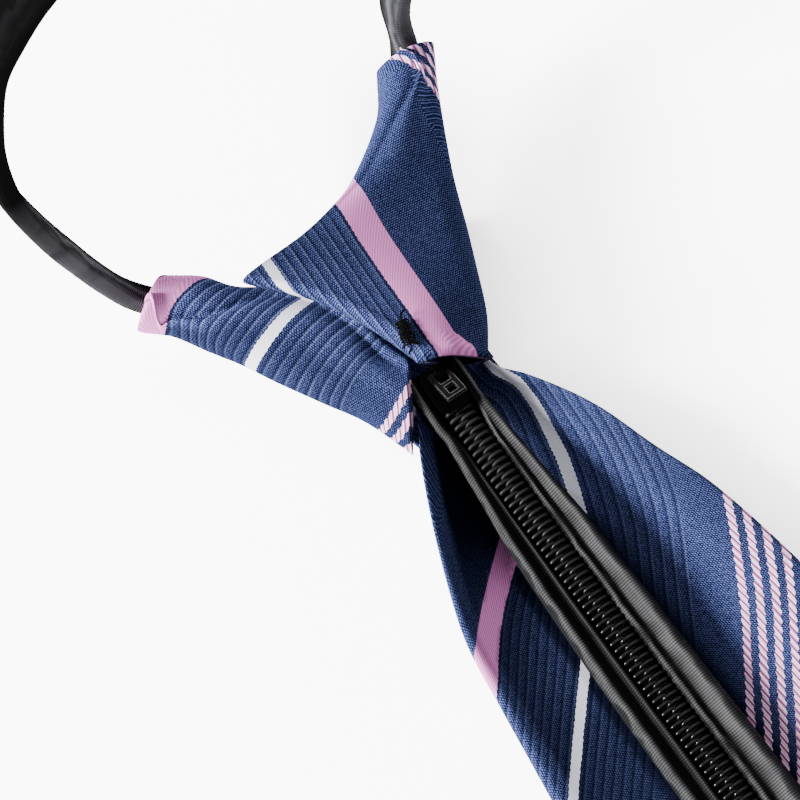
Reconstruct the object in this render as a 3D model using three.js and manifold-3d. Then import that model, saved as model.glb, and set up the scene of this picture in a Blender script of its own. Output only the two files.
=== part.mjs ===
import * as THREE from "three";
import Module from "manifold-3d";
import { mergeVertices } from "three/addons/utils/BufferGeometryUtils.js";

// A ready-knotted zipper tie lying face down: the origin is on the table under the pinch of the knot,
// +Y runs from the blade's tip towards the neck, +X is to the right seen from behind, +Z is up.
// Lengths are in millimetres.

// Driving dimensions: cloth and clearances
const clothWall = 1.2;
const clearance = 0.3;
const smoothEnds = 0.02;

// Driving dimensions: the blade
const bladeLength = 480;
const bladeTop = 6.5;
const bladeCurled = 62;
const bladeFlat = 130;
const bladeWidth = 78;
const bladeThickness = 3.6;
const bladeShift = 6;
const bladeCurl = 10;
const bladeLift = 2;
const bladeFlatShare = 0.25;
const bladeCurlPower = 2.2;
const bladePointDepth = bladeWidth / 2;
const bladePointWidth = 4;
const bladeHem = 6;

// Driving dimensions: the knot
const knotWidth = 60;
const knotHeight = 42;
const knotDepth = 23;
const knotFoot = 11;
const frontWidth = 42;
const frontHeight = 24;
const frontCurl = 5.2;
const frontFlatShare = 0.3;
const wingCrown = 1.4;

// Driving dimensions: the neck band and the zipper
const bandWidth = 6.4;
const bandTucked = 4.3;
const bandTuckShare = 0.1;
const bandFreeShare = 0.15;
const bandThickness = 3.4;
const bandFlatness = 0.6;
const loopWidth = 88;
const loopHeight = 165;
const loopDepth = 48;
const zipperAxis = 1.7;
const zipperLength = 200;
const zipperHeight = 15.6;
const coilWidth = 4.2;
const coilThickness = 2;
const coilCorner = 0.5;
const sideThickness = 3;
const leftSideWidth = 7.4;
const rightSideWidth = 8.6;
const sideTop = 2.6;
const sectionSpread = 1.5;
const stopLength = 2.6;
const stopWall = 0.6;

// Driving dimensions: the slider and its pull tab
const sliderLength = 7.4;
const sliderWidth = 5.6;
const sliderPlate = 0.7;
const sliderTop = 1.7;
const sliderCorner = 1.4;
const neckLength = 2;
const neckWidth = 1.4;
const crownLength = 3;
const crownWidth = 1;
const crownHeight = 2;
const crownBar = 0.7;
const tabLength = 5.6;
const tabWidth = 3.4;
const tabThickness = 0.7;
const tabEyeLength = 1.9;
const tabEyeWidth = 1.8;
const tabWindow = 1.6;
const tabRaise = THREE.MathUtils.degToRad(32);

// Driving dimensions: the bar tack at the pinch
const tackLength = 4.4;
const tackWidth = 1.6;
const tackThickness = 1.2;

const wasm = await Module();
wasm.setup();

const part = new THREE.Group();

const stripedCloth = new THREE.MeshStandardMaterial({ color: 0x2c3a6c, roughness: 0.6, metalness: 0 });
const blackTape = new THREE.MeshStandardMaterial({ color: 0x19191b, roughness: 0.7, metalness: 0 });
const blackNylon = new THREE.MeshStandardMaterial({ color: 0x101012, roughness: 0.3, metalness: 0 });
const blackMetal = new THREE.MeshStandardMaterial({ color: 0x0c0c0e, roughness: 0.35, metalness: 0.6 });
const blackThread = new THREE.MeshStandardMaterial({ color: 0x141416, roughness: 0.8, metalness: 0 });

// The smooth value of a column of a table at a place along its first column, without overshoot
function columnAt(rows, key, place, column) {
  const last = rows.length - 1;
  const slope = (i) => (rows[i + 1][column] - rows[i][column]) / (rows[i + 1][key] - rows[i][key]);
  const tangent = (i) => {
    if (i === 0 || i === last) {
      return slope(Math.min(i, last - 1));
    }
    const before = slope(i - 1);
    const after = slope(i);
    return before * after <= 0 ? 0 : (2 * before * after) / (before + after);
  };
  let i = 0;
  while (i < last - 1 && place > rows[i + 1][key]) {
    i += 1;
  }
  const span = rows[i + 1][key] - rows[i][key];
  const t = THREE.MathUtils.clamp((place - rows[i][key]) / span, 0, 1);
  const rise = (3 - 2 * t) * t * t;
  return (
    rows[i][column] * (1 - rise) +
    rows[i + 1][column] * rise +
    tangent(i) * span * t * (1 - t) * (1 - t) -
    tangent(i + 1) * span * t * t * (1 - t)
  );
}

// A closed surface from rows of points: each row has an outer and an inner line with as many points
function wallGeometry(outer, inner, closedAcross) {
  const count = outer[0].length;
  const rows = outer.length;
  const positions = [...outer, ...inner].flat().flatMap((p) => [p.x, p.y, p.z]);
  const at = (side, row, k) => (side * rows + row) * count + (k % count);
  const faces = [];
  const quad = (a, b, c, d) => faces.push(a, b, c, a, c, d);
  const steps = closedAcross ? count : count - 1;
  for (let row = 0; row < rows - 1; row += 1) {
    for (let k = 0; k < steps; k += 1) {
      quad(at(0, row, k), at(0, row, k + 1), at(0, row + 1, k + 1), at(0, row + 1, k));
      quad(at(1, row, k), at(1, row + 1, k), at(1, row + 1, k + 1), at(1, row, k + 1));
    }
    if (!closedAcross) {
      const end = count - 1;
      quad(at(0, row, 0), at(0, row + 1, 0), at(1, row + 1, 0), at(1, row, 0));
      quad(at(0, row, end), at(1, row, end), at(1, row + 1, end), at(0, row + 1, end));
    }
  }
  for (let k = 0; k < steps; k += 1) {
    quad(at(0, 0, k), at(1, 0, k), at(1, 0, k + 1), at(0, 0, k + 1));
    quad(at(0, rows - 1, k), at(0, rows - 1, k + 1), at(1, rows - 1, k + 1), at(1, rows - 1, k));
  }
  const geometry = new THREE.BufferGeometry();
  geometry.setAttribute("position", new THREE.Float32BufferAttribute(positions, 3));
  geometry.setIndex(faces);
  geometry.computeVertexNormals();
  return geometry;
}

// A solid from rows of points round it, closed by a flat fan at each end
function solidGeometry(rings) {
  const count = rings[0].length;
  const middles = [rings[0], rings[rings.length - 1]].map((ring) =>
    ring.reduce((sum, p) => sum.add(p), new THREE.Vector3()).divideScalar(count),
  );
  const positions = [...rings.flat(), ...middles].flatMap((p) => [p.x, p.y, p.z]);
  const faces = [];
  const first = rings.length * count;
  for (let k = 0; k < count; k += 1) {
    const next = (k + 1) % count;
    for (let row = 0; row < rings.length - 1; row += 1) {
      const a = row * count;
      const b = a + count;
      faces.push(a + k, a + next, b + next, a + k, b + next, b + k);
    }
    const end = (rings.length - 1) * count;
    faces.push(first, next, k, first + 1, end + k, end + next);
  }
  const geometry = new THREE.BufferGeometry();
  geometry.setAttribute("position", new THREE.Float32BufferAttribute(positions, 3));
  geometry.setIndex(faces);
  geometry.computeVertexNormals();
  return geometry;
}

// A closed mesh as a solid that can be joined, and the joined solid as a geometry again
function solidOf(geometry) {
  const bare = geometry.clone();
  bare.deleteAttribute("normal");
  bare.deleteAttribute("uv");
  const merged = mergeVertices(bare, 1e-4);
  const vertProperties = merged.attributes.position.array;
  const triVerts = new Uint32Array(merged.index.array);
  return new wasm.Manifold(new wasm.Mesh({ numProp: 3, vertProperties, triVerts }));
}

function geometryOf(solid) {
  const mesh = solid.getMesh();
  const geometry = new THREE.BufferGeometry();
  geometry.setAttribute("position", new THREE.BufferAttribute(mesh.vertProperties, 3));
  geometry.setIndex(new THREE.BufferAttribute(mesh.triVerts, 1));
  geometry.computeVertexNormals();
  return geometry;
}

function addPiece(name, geometry, material, parent = part) {
  const mesh = new THREE.Mesh(geometry, material);
  mesh.name = name;
  parent.add(mesh);
  return mesh;
}

// The height of a trough's underside: flat in the middle, curling up towards both edges
function troughHeight(across, flatShare, curl) {
  const past = Math.max(0, (Math.abs(across) - flatShare) / (1 - flatShare));
  return curl * past ** bladeCurlPower;
}

// Blade: the front and the two flaps folded over it, one cloth, as shares of the named sizes.
// down: of the length; width: of the width; shift: of the shift to the right; curl: of the edge's rise;
// lift: of the rise over the knot's front; open: the flaps' opening, of the half width
const bladeRows = [
  { down: 0.0135, width: 0.2, shift: 0.66, curl: 0.78, lift: 1, open: 0.3 },
  { down: 0.021, width: 0.26, shift: 0.66, curl: 0.9, lift: 1, open: 0.25 },
  { down: 0.042, width: 0.395, shift: 0.7, curl: 1, lift: 0.6, open: 0.16 },
  { down: 0.0625, width: 0.495, shift: 0.71, curl: 0.9, lift: 0, open: 0.12 },
  { down: 0.083, width: 0.583, shift: 0.79, curl: 0.75, lift: 0, open: 0.1 },
  { down: 0.104, width: 0.63, shift: 0.9, curl: 0.6, lift: 0, open: 0.09 },
  { down: 0.125, width: 0.667, shift: 0.95, curl: 0.5, lift: 0, open: 0.08 },
  { down: 0.167, width: 0.718, shift: 0.92, curl: 0.35, lift: 0, open: 0.07 },
  { down: 0.25, width: 0.763, shift: 0.75, curl: 0.15, lift: 0, open: 0.06 },
  { down: 0.42, width: 0.833, shift: 0.5, curl: 0.03, lift: 0, open: 0.05 },
  { down: 0.62, width: 0.923, shift: 0.33, curl: 0, lift: 0, open: 0.02 },
  { down: 0.8, width: 0.98, shift: 0.28, curl: 0, lift: 0, open: 0.02 },
  { down: 0.92, width: 1.02, shift: 0.28, curl: 0, lift: 0, open: 0.85 },
  { down: 1, width: 1.06, shift: 0.28, curl: 0, lift: 0, open: 0.9 },
];

// The blade's section at a place along it, in numbers
function bladeAt(y) {
  const value = (column) => columnAt(bladeRows, "down", -y / bladeLength, column);
  const fromTip = y + bladeLength;
  const taper = Math.min(1, fromTip / bladePointDepth);
  const fullWidth = Math.min(value("width"), 1) * bladeWidth;
  const halfWidth = Math.max(bladePointWidth / 2, (fullWidth / 2) * taper);
  const hemmed = Math.max(value("open") * halfWidth, clearance);
  const open = Math.min(hemmed, Math.max(clearance, halfWidth - bladeHem));
  return {
    halfWidth,
    open,
    centre: value("shift") * bladeShift,
    curl: value("curl") * bladeCurl,
    lift: value("lift") * bladeLift,
  };
}

function bladeSection(y, inset) {
  const { halfWidth, open, centre, curl, lift } = bladeAt(y);
  const radius = bladeThickness / 2 - inset;
  const reach = halfWidth - bladeThickness / 2;
  const flat = [];
  const backSteps = 5;
  const foldSteps = 3;
  const frontSteps = 10;
  for (let i = 0; i < backSteps; i += 1) {
    flat.push([THREE.MathUtils.lerp(-open, -reach, i / backSteps), bladeThickness - inset]);
  }
  for (let i = 0; i <= foldSteps; i += 1) {
    const turn = Math.PI / 2 + (Math.PI * i) / foldSteps;
    flat.push([-reach + radius * Math.cos(turn), bladeThickness / 2 + radius * Math.sin(turn)]);
  }
  for (let i = 1; i < frontSteps; i += 1) {
    flat.push([THREE.MathUtils.lerp(-reach, reach, i / frontSteps), inset]);
  }
  for (let i = 0; i <= foldSteps; i += 1) {
    const turn = -Math.PI / 2 + (Math.PI * i) / foldSteps;
    flat.push([reach + radius * Math.cos(turn), bladeThickness / 2 + radius * Math.sin(turn)]);
  }
  for (let i = backSteps - 1; i >= 0; i -= 1) {
    flat.push([THREE.MathUtils.lerp(open, reach, i / backSteps), bladeThickness - inset]);
  }
  return flat.map(([x, z]) => {
    const rise = troughHeight(x / halfWidth, bladeFlatShare, curl);
    return new THREE.Vector3(centre + x, y, lift + z + rise);
  });
}

function addBlade() {
  const corner = bladeLength - bladePointDepth;
  const stretches = [
    { from: bladeTop, to: bladeCurled, steps: 11 },
    { from: bladeCurled, to: bladeFlat, steps: 5 },
    { from: bladeFlat, to: corner, steps: 9 },
    { from: corner, to: bladeLength, steps: 6 },
  ];
  const places = stretches.flatMap(({ from, to, steps }) =>
    Array.from({ length: steps }, (_, i) => -THREE.MathUtils.lerp(from, to, i / steps)),
  );
  places.push(-bladeLength);
  const outer = places.map((y) => bladeSection(y, 0));
  const inner = places.map((y) => bladeSection(y, clothWall));
  addPiece("blade", wallGeometry(outer, inner, false), stripedCloth);
}

// Knot front: a shallow tray of cloth, flat where it rests, as shares of the front's sizes.
// up: of the height above the pinch; width: of the width; shift: of the blade's shift; curl: of the curl
const frontRows = [
  { up: -knotFoot / frontHeight, width: 0.38, shift: 0.7, curl: 0.72 },
  { up: -0.3, width: 0.43, shift: 0.65, curl: 1.15 },
  { up: -0.1, width: 0.46, shift: 0.55, curl: 1 },
  { up: 0.3, width: 0.58, shift: 0.35, curl: 0.95 },
  { up: 0.7, width: 0.76, shift: 0.15, curl: 0.9 },
  { up: 1, width: 0.9, shift: 0, curl: 0.85 },
];

function addKnotFront() {
  const steps = 14;
  const rows = 12;
  const outer = [];
  const inner = [];
  for (let row = 0; row <= rows; row += 1) {
    const up = THREE.MathUtils.lerp(-knotFoot / frontHeight, 1, row / rows);
    const value = (column) => columnAt(frontRows, "up", up, column);
    const half = (value("width") * frontWidth) / 2;
    const line = (height) =>
      Array.from({ length: steps + 1 }, (_, i) => {
        const across = THREE.MathUtils.lerp(-1, 1, i / steps);
        const rise = troughHeight(across, frontFlatShare, value("curl") * frontCurl);
        const x = value("shift") * bladeShift + across * half;
        return new THREE.Vector3(x, up * frontHeight, rise + height);
      });
    outer.push(line(clothWall));
    inner.push(line(0));
  }
  addPiece("knot_front", wallGeometry(outer, inner, false), stripedCloth);
}

// Wings: hollow tubes of cloth from the pinch to a tip. Each row is one section across the wing, from its
// neck or lap edge (inner) to its outer edge. x: of the knot's width; y: of its height;
// z: of its depth, the middle of each rolled edge; roll: that edge's radius, of the depth
const rightWing = [
  { innerX: -0.005, innerY: 0, innerZ: 0.85, innerRoll: 0.1,
    outerX: 0.185, outerY: -0.09, outerZ: 0.59, outerRoll: 0.135 },
  { innerX: -0.05, innerY: 0.165, innerZ: 0.9, innerRoll: 0.08,
    outerX: 0.245, outerY: 0.035, outerZ: 0.565, outerRoll: 0.235 },
  { innerX: -0.12, innerY: 0.37, innerZ: 0.91, innerRoll: 0.075,
    outerX: 0.3, outerY: 0.215, outerZ: 0.565, outerRoll: 0.24 },
  { innerX: -0.245, innerY: 0.575, innerZ: 0.93, innerRoll: 0.07,
    outerX: 0.35, outerY: 0.38, outerZ: 0.575, outerRoll: 0.24 },
  { innerX: -0.07, innerY: 0.6, innerZ: 0.9, innerRoll: 0.08,
    outerX: 0.39, outerY: 0.525, outerZ: 0.6, outerRoll: 0.235 },
  { innerX: 0.085, innerY: 0.65, innerZ: 0.86, innerRoll: 0.11,
    outerX: 0.425, outerY: 0.64, outerZ: 0.64, outerRoll: 0.237 },
  { innerX: 0.215, innerY: 0.76, innerZ: 0.82, innerRoll: 0.15,
    outerX: 0.465, outerY: 0.765, outerZ: 0.69, outerRoll: 0.227 },
  { innerX: 0.32, innerY: 0.885, innerZ: 0.78, innerRoll: 0.2,
    outerX: 0.505, outerY: 0.88, outerZ: 0.735, outerRoll: 0.217 },
  { innerX: 0.375, innerY: 1.005, innerZ: 0.76, innerRoll: 0.21,
    outerX: 0.547, outerY: 0.98, outerZ: 0.765, outerRoll: 0.212 },
];

const leftWing = [
  { innerX: 0, innerY: 0.045, innerZ: 0.65, innerRoll: 0.08,
    outerX: -0.13, outerY: -0.225, outerZ: 0.52, outerRoll: 0.14 },
  { innerX: -0.015, innerY: 0.13, innerZ: 0.64, innerRoll: 0.08,
    outerX: -0.175, outerY: -0.03, outerZ: 0.52, outerRoll: 0.232 },
  { innerX: -0.03, innerY: 0.25, innerZ: 0.665, innerRoll: 0.075,
    outerX: -0.235, outerY: 0.12, outerZ: 0.53, outerRoll: 0.237 },
  { innerX: -0.075, innerY: 0.42, innerZ: 0.67, innerRoll: 0.075,
    outerX: -0.295, outerY: 0.265, outerZ: 0.55, outerRoll: 0.242 },
  { innerX: -0.155, innerY: 0.53, innerZ: 0.69, innerRoll: 0.08,
    outerX: -0.345, outerY: 0.395, outerZ: 0.58, outerRoll: 0.237 },
  { innerX: -0.25, innerY: 0.61, innerZ: 0.73, innerRoll: 0.14,
    outerX: -0.4, outerY: 0.5, outerZ: 0.63, outerRoll: 0.227 },
  { innerX: -0.303, innerY: 0.7, innerZ: 0.755, innerRoll: 0.195,
    outerX: -0.455, outerY: 0.6, outerZ: 0.7, outerRoll: 0.222 },
  { innerX: -0.38, innerY: 0.78, innerZ: 0.76, innerRoll: 0.223,
    outerX: -0.507, outerY: 0.655, outerZ: 0.75, outerRoll: 0.228 },
];

// A wing's numbers at a share of the way along it
function wingAt(rows, along) {
  const numbered = rows.map((row, i) => ({ ...row, place: i / (rows.length - 1) }));
  const value = (column) => columnAt(numbered, "place", along, column);
  const inner = new THREE.Vector3(value("innerX") * knotWidth, value("innerY") * knotHeight, 0);
  const outer = new THREE.Vector3(value("outerX") * knotWidth, value("outerY") * knotHeight, 0);
  const across = outer.clone().sub(inner).normalize();
  const innerRoll = value("innerRoll") * knotDepth;
  const outerRoll = value("outerRoll") * knotDepth;
  inner.addScaledVector(across, innerRoll).setZ(value("innerZ") * knotDepth);
  outer.addScaledVector(across, -outerRoll).setZ(value("outerZ") * knotDepth);
  return { inner, outer, across, innerRoll, outerRoll };
}

// The section of a wing's tube: two rolled edges and the cloth between them, the upper side crowned
function wingSection(rows, along, inset) {
  const { inner, outer, across, innerRoll, outerRoll } = wingAt(rows, along);
  const span = outer.clone().sub(inner);
  const flatSpan = Math.hypot(span.x, span.y);
  const slope = Math.atan2(span.z, flatSpan);
  const arcSteps = 5;
  const sideSteps = 4;
  const points = [];
  const roll = (middle, radius, from) => {
    for (let i = 0; i <= arcSteps; i += 1) {
      const turn = slope + from + (Math.PI * i) / arcSteps;
      const point = middle.clone().addScaledVector(across, (radius - inset) * Math.cos(turn));
      points.push(point.setZ(middle.z + (radius - inset) * Math.sin(turn)));
    }
  };
  const bridge = (start, end, crown) => {
    for (let i = 1; i < sideSteps; i += 1) {
      const point = start.clone().lerp(end, i / sideSteps);
      points.push(point.setZ(point.z + crown * Math.sin((Math.PI * i) / sideSteps)));
    }
  };
  roll(outer, outerRoll, -Math.PI / 2);
  const outerTop = points[points.length - 1];
  const outerFoot = points[0];
  const innerRollStart = points.length;
  roll(inner, innerRoll, Math.PI / 2);
  const innerPoints = points.splice(innerRollStart);
  bridge(outerTop, innerPoints[0], wingCrown);
  points.push(...innerPoints);
  bridge(points[points.length - 1], outerFoot, 0);
  return points;
}

function addWing(name, rows, turned) {
  const steps = 18;
  const outer = [];
  const inner = [];
  for (let i = 0; i <= steps; i += 1) {
    outer.push(wingSection(rows, i / steps, 0));
    inner.push(wingSection(rows, i / steps, clothWall));
  }
  if (turned) {
    outer.forEach((line) => line.reverse());
    inner.forEach((line) => line.reverse());
  }
  addPiece(name, wallGeometry(outer, inner, true), stripedCloth);
}

// Places along a wing where the band's way is set, and how far it lies from the outer roll at the pinch
const pocketPlaces = [0.12, 0.3, 0.55, 0.8, 1];
const pocketShift = 0.35;
const tipShift = 0.3;

// The middle of the pocket that the band lies in, in a wing's outer roll
function wingPocket(rows, along, inward) {
  const { inner, outer } = wingAt(rows, along);
  return outer.lerp(inner, inward);
}

// The free loop of the band, from the left tip to the right one.
// x: of the loop's half width; y: of its depth; z: of its height
const loopRows = [
  { x: -0.672, y: 0.69, z: 0.118 },
  { x: -0.74, y: 0.737, z: 0.152 },
  { x: -0.81, y: 0.77, z: 0.204 },
  { x: -0.89, y: 0.79, z: 0.275 },
  { x: -0.96, y: 0.8, z: 0.355 },
  { x: -1.0, y: 0.784, z: 0.45 },
  { x: -1.0, y: 0.73, z: 0.576 },
  { x: -0.95, y: 0.667, z: 0.69 },
  { x: -0.86, y: 0.58, z: 0.79 },
  { x: -0.7, y: 0.49, z: 0.88 },
  { x: -0.46, y: 0.41, z: 0.955 },
  { x: -0.15, y: 0.37, z: 1.0 },
  { x: 0.17, y: 0.37, z: 1.0 },
  { x: 0.48, y: 0.41, z: 0.952 },
  { x: 0.72, y: 0.5, z: 0.87 },
  { x: 0.88, y: 0.6, z: 0.76 },
  { x: 0.96, y: 0.7, z: 0.64 },
  { x: 0.97, y: 0.8, z: 0.51 },
  { x: 0.9, y: 0.9, z: 0.39 },
  { x: 0.79, y: 0.97, z: 0.285 },
  { x: 0.7, y: 1.0, z: 0.205 },
  { x: 0.67, y: 0.985, z: 0.155 },
  { x: 0.664, y: 0.925, z: 0.115 },
];

// The band's way: out of the left wing's pocket, round the loop and into the right wing's pocket
function bandRoute() {
  const inward = (along) => (along < 1 ? pocketShift * (1 - along) ** 2 : tipShift);
  const left = pocketPlaces.map((along) => wingPocket(leftWing, along, inward(along)));
  const right = pocketPlaces.map((along) => wingPocket(rightWing, along, inward(along))).reverse();
  const loop = loopRows.map(
    (row) => new THREE.Vector3((row.x * loopWidth) / 2, row.y * loopDepth, row.z * loopHeight),
  );
  return new THREE.CatmullRomCurve3([...left, ...loop, ...right], false, "centripetal");
}

// The way that the band's width points: across each wing inside it, along the neck's axis in the loop
function bandWidthWay() {
  const across = (rows, along) => {
    const { inner, outer } = wingAt(rows, along);
    return inner.sub(outer).normalize();
  };
  const neckAxis = new THREE.Vector3(0, 1, 0);
  const left = pocketPlaces.map((along) => (along < 1 ? across(leftWing, along) : neckAxis));
  const right = [...pocketPlaces].reverse().map((along) => (along < 1 ? across(rightWing, along) : neckAxis));
  const loop = loopRows.map(() => neckAxis);
  return new THREE.CatmullRomCurve3([...left, ...loop, ...right], false, "centripetal");
}

// A flat tube's section with rounded edges
function bandSection(middle, wide, thin, width, thickness) {
  const sides = 10;
  return Array.from({ length: sides }, (_, k) => {
    const turn = (2 * Math.PI * k) / sides;
    const w = (Math.sign(Math.cos(turn)) * Math.abs(Math.cos(turn)) ** bandFlatness * width) / 2;
    const t = (Math.sign(Math.sin(turn)) * Math.abs(Math.sin(turn)) ** bandFlatness * thickness) / 2;
    return middle.clone().addScaledVector(wide, w).addScaledVector(thin, t);
  });
}

function addNeckBand() {
  const route = bandRoute();
  const steps = 72;
  const widthWay = bandWidthWay();
  const rings = route.getSpacedPoints(steps).map((middle, i) => {
    const along = route.getTangentAt(i / steps);
    const wide = widthWay.getPoint(route.getUtoTmapping(i / steps));
    wide.addScaledVector(along, -wide.dot(along)).normalize();
    const thin = along.clone().cross(wide);
    const fromEnd = Math.min(i, steps - i) / steps;
    const free = THREE.MathUtils.smoothstep(fromEnd, bandTuckShare, bandFreeShare);
    const width = THREE.MathUtils.lerp(bandTucked, bandWidth, free);
    return bandSection(middle, wide, thin, width, bandThickness);
  });
  addPiece("neck_band", solidGeometry(rings), blackTape);
}

// The closed zipper's height over the table and the width of each side, from the pinch down.
// down: of the zipper's length; height: of its height at the pinch; reach: of the side's width
const zipperRows = [
  { down: 0, height: 1, reach: 0.42 },
  { down: 0.045, height: 0.85, reach: 0.58 },
  { down: 0.095, height: 0.73, reach: 0.7 },
  { down: 0.17, height: 0.62, reach: 0.86 },
  { down: 0.3, height: 0.5, reach: 0.95 },
  { down: 0.5, height: 0.41, reach: 1 },
  { down: 1, height: 0.36, reach: 1 },
];

function zipperAt(y) {
  const down = (-y - sideTop) / zipperLength;
  const value = (column) => columnAt(zipperRows, "down", down, column);
  return { height: value("height") * zipperHeight, reach: value("reach") };
}

// The slope of the zipper under the slider, as the angle that it falls towards the blade's tip
const sliderMiddle = -(sliderTop + sliderLength / 2);
const sliderHigh = zipperAt(sliderMiddle + sliderLength / 2).height;
const sliderLow = zipperAt(sliderMiddle - sliderLength / 2).height;
const sliderSlope = Math.atan2(sliderHigh - sliderLow, sliderLength);

function addZipperSide(name, side, width) {
  const steps = 40;
  const rings = [];
  const beside = sliderWidth / 2 + clearance;
  const atCoil = coilWidth / 2 + clearance;
  const sliderEnd = sliderTop + sliderLength + clearance;
  for (let i = 0; i <= steps; i += 1) {
    const share = i / steps;
    const y = -sideTop - zipperLength * share ** sectionSpread;
    const { height, reach } = zipperAt(y);
    const past = THREE.MathUtils.smoothstep(-y, sliderEnd, sliderEnd + sliderWidth);
    const near = THREE.MathUtils.lerp(beside, atCoil, past);
    const far = Math.max(near + sideThickness / 2, reach * width);
    const middle = new THREE.Vector3(zipperAxis + (side * (near + far)) / 2, y, height);
    const wide = new THREE.Vector3(side, 0, 0);
    const thin = new THREE.Vector3(0, 0, side);
    rings.push(bandSection(middle, wide, thin, far - near, sideThickness));
  }
  addPiece(name, solidGeometry(rings), blackTape);
}

function addCoil() {
  const steps = 32;
  const start = sliderTop + neckLength + sliderWidth / 2 + clearance;
  const end = sideTop + zipperLength - stopLength - 2 * clearance;
  const rings = [];
  for (let i = 0; i <= steps; i += 1) {
    const y = -THREE.MathUtils.lerp(start, end, (i / steps) ** sectionSpread);
    const { height } = zipperAt(y);
    const w = coilWidth / 2;
    const t = coilThickness / 2;
    const outline = [
      [w, -t + coilCorner], [w, t - coilCorner], [w - coilCorner, t], [coilCorner - w, t],
      [-w, t - coilCorner], [-w, coilCorner - t], [coilCorner - w, -t], [w - coilCorner, -t],
    ];
    rings.push(outline.map(([x, z]) => new THREE.Vector3(zipperAxis + x, y, height + z)));
  }
  addPiece("zipper_coil", solidGeometry(rings), blackNylon);
}

function roundedBlock(width, length, height, corner) {
  const x = width / 2;
  const y = length / 2;
  const shape = new THREE.Shape();
  shape.moveTo(x, corner - y);
  shape.absarc(x - corner, y - corner, corner, 0, Math.PI / 2);
  shape.absarc(corner - x, y - corner, corner, Math.PI / 2, Math.PI);
  shape.absarc(corner - x, corner - y, corner, Math.PI, 1.5 * Math.PI);
  shape.absarc(x - corner, corner - y, corner, 1.5 * Math.PI, 2 * Math.PI);
  return new THREE.ExtrudeGeometry(shape, { depth: height, bevelEnabled: false, curveSegments: 4 });
}

function addBottomStop() {
  const y = -(sideTop + zipperLength - stopLength / 2);
  const block = roundedBlock(coilWidth, stopLength, coilThickness, stopWall);
  block.translate(zipperAxis, y, zipperAt(y).height - coilThickness / 2);
  addPiece("bottom_stop", block, blackNylon);
}

// Slider: two plates, the neck that holds them apart and the crown that the pull tab hangs on
const slider = new THREE.Group();
slider.position.set(zipperAxis, sliderMiddle, zipperAt(sliderMiddle).height);
slider.rotation.x = sliderSlope;
part.add(slider);
const channel = coilThickness / 2 + clearance;
const plateTop = channel + sliderPlate;
const crownMiddle = (sliderLength - crownLength) / 2;

function addSlider() {
  const plate = (z) => {
    const block = roundedBlock(sliderWidth, sliderLength, sliderPlate, sliderCorner);
    return solidOf(block.translate(0, 0, z));
  };
  const neck = new THREE.BoxGeometry(neckWidth, neckLength, 2 * channel + sliderPlate);
  neck.translate(0, (sliderLength - neckLength) / 2, 0);
  const arch = new THREE.Shape();
  const half = crownLength / 2;
  arch.moveTo(-half, -crownBar / 2);
  arch.lineTo(half, -crownBar / 2);
  arch.lineTo(half, crownHeight - crownBar);
  arch.lineTo(half - crownBar, crownHeight);
  arch.lineTo(crownBar - half, crownHeight);
  arch.lineTo(-half, crownHeight - crownBar);
  const eye = new THREE.Path();
  eye.moveTo(crownBar - half, 0);
  eye.lineTo(crownBar - half, crownHeight - crownBar);
  eye.lineTo(half - crownBar, crownHeight - crownBar);
  eye.lineTo(half - crownBar, 0);
  arch.holes.push(eye);
  const crown = new THREE.ExtrudeGeometry(arch, { depth: crownWidth, bevelEnabled: false });
  crown.translate(0, 0, -crownWidth / 2).rotateX(Math.PI / 2).rotateZ(Math.PI / 2);
  crown.translate(0, crownMiddle, plateTop);
  const body = plate(channel).add(plate(-plateTop)).add(solidOf(neck)).add(solidOf(crown));
  addPiece("slider", geometryOf(body), blackMetal, slider);
}

// Pull tab: a plate with an eye round the crown's bar at one end and a square window at the other
const tabPivot = new THREE.Group();
tabPivot.position.set(0, crownMiddle, plateTop + (crownHeight - crownBar) / 2);
tabPivot.rotation.x = -tabRaise;
slider.add(tabPivot);

function addPullTab() {
  const half = tabWidth / 2;
  const top = crownBar / 2;
  const outline = new THREE.Shape();
  outline.moveTo(-half, top);
  outline.lineTo(-half, top - tabLength);
  outline.lineTo(half, top - tabLength);
  outline.lineTo(half, top);
  const cutOut = (width, length, from) => {
    const hole = new THREE.Path();
    hole.moveTo(-width / 2, from);
    hole.lineTo(width / 2, from);
    hole.lineTo(width / 2, from - length);
    hole.lineTo(-width / 2, from - length);
    outline.holes.push(hole);
  };
  cutOut(tabEyeWidth, tabEyeLength, -crownBar / 2);
  cutOut(tabWindow, tabWindow, top - tabLength + crownBar + tabWindow);
  const plate = new THREE.ExtrudeGeometry(outline, { depth: tabThickness, bevelEnabled: false });
  plate.translate(0, 0, -tabThickness / 2);
  addPiece("pull_tab", plate, blackMetal, tabPivot);
}

// Bar tack: the thread that holds the two wings together at the pinch
function addKnotStitch() {
  const { inner, across, innerRoll } = wingAt(rightWing, 0.06);
  const tack = roundedBlock(tackWidth, tackLength, tackThickness, tackWidth / 2 - smoothEnds);
  const holder = new THREE.Group();
  holder.position.copy(inner).setZ(inner.z + innerRoll + clearance);
  holder.rotation.z = Math.atan2(across.y, across.x);
  part.add(holder);
  addPiece("knot_stitch", tack, blackThread, holder);
}

addBlade();
addKnotFront();
addWing("knot_wing_left", leftWing, false);
addWing("knot_wing_right", rightWing, true);
addNeckBand();
addZipperSide("zipper_side_left", -1, leftSideWidth);
addZipperSide("zipper_side_right", 1, rightSideWidth);
addCoil();
addBottomStop();
addSlider();
addPullTab();
addKnotStitch();

export default part;
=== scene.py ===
import math

import bmesh
import bpy
import numpy as np
from mathutils import Matrix, Vector


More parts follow.
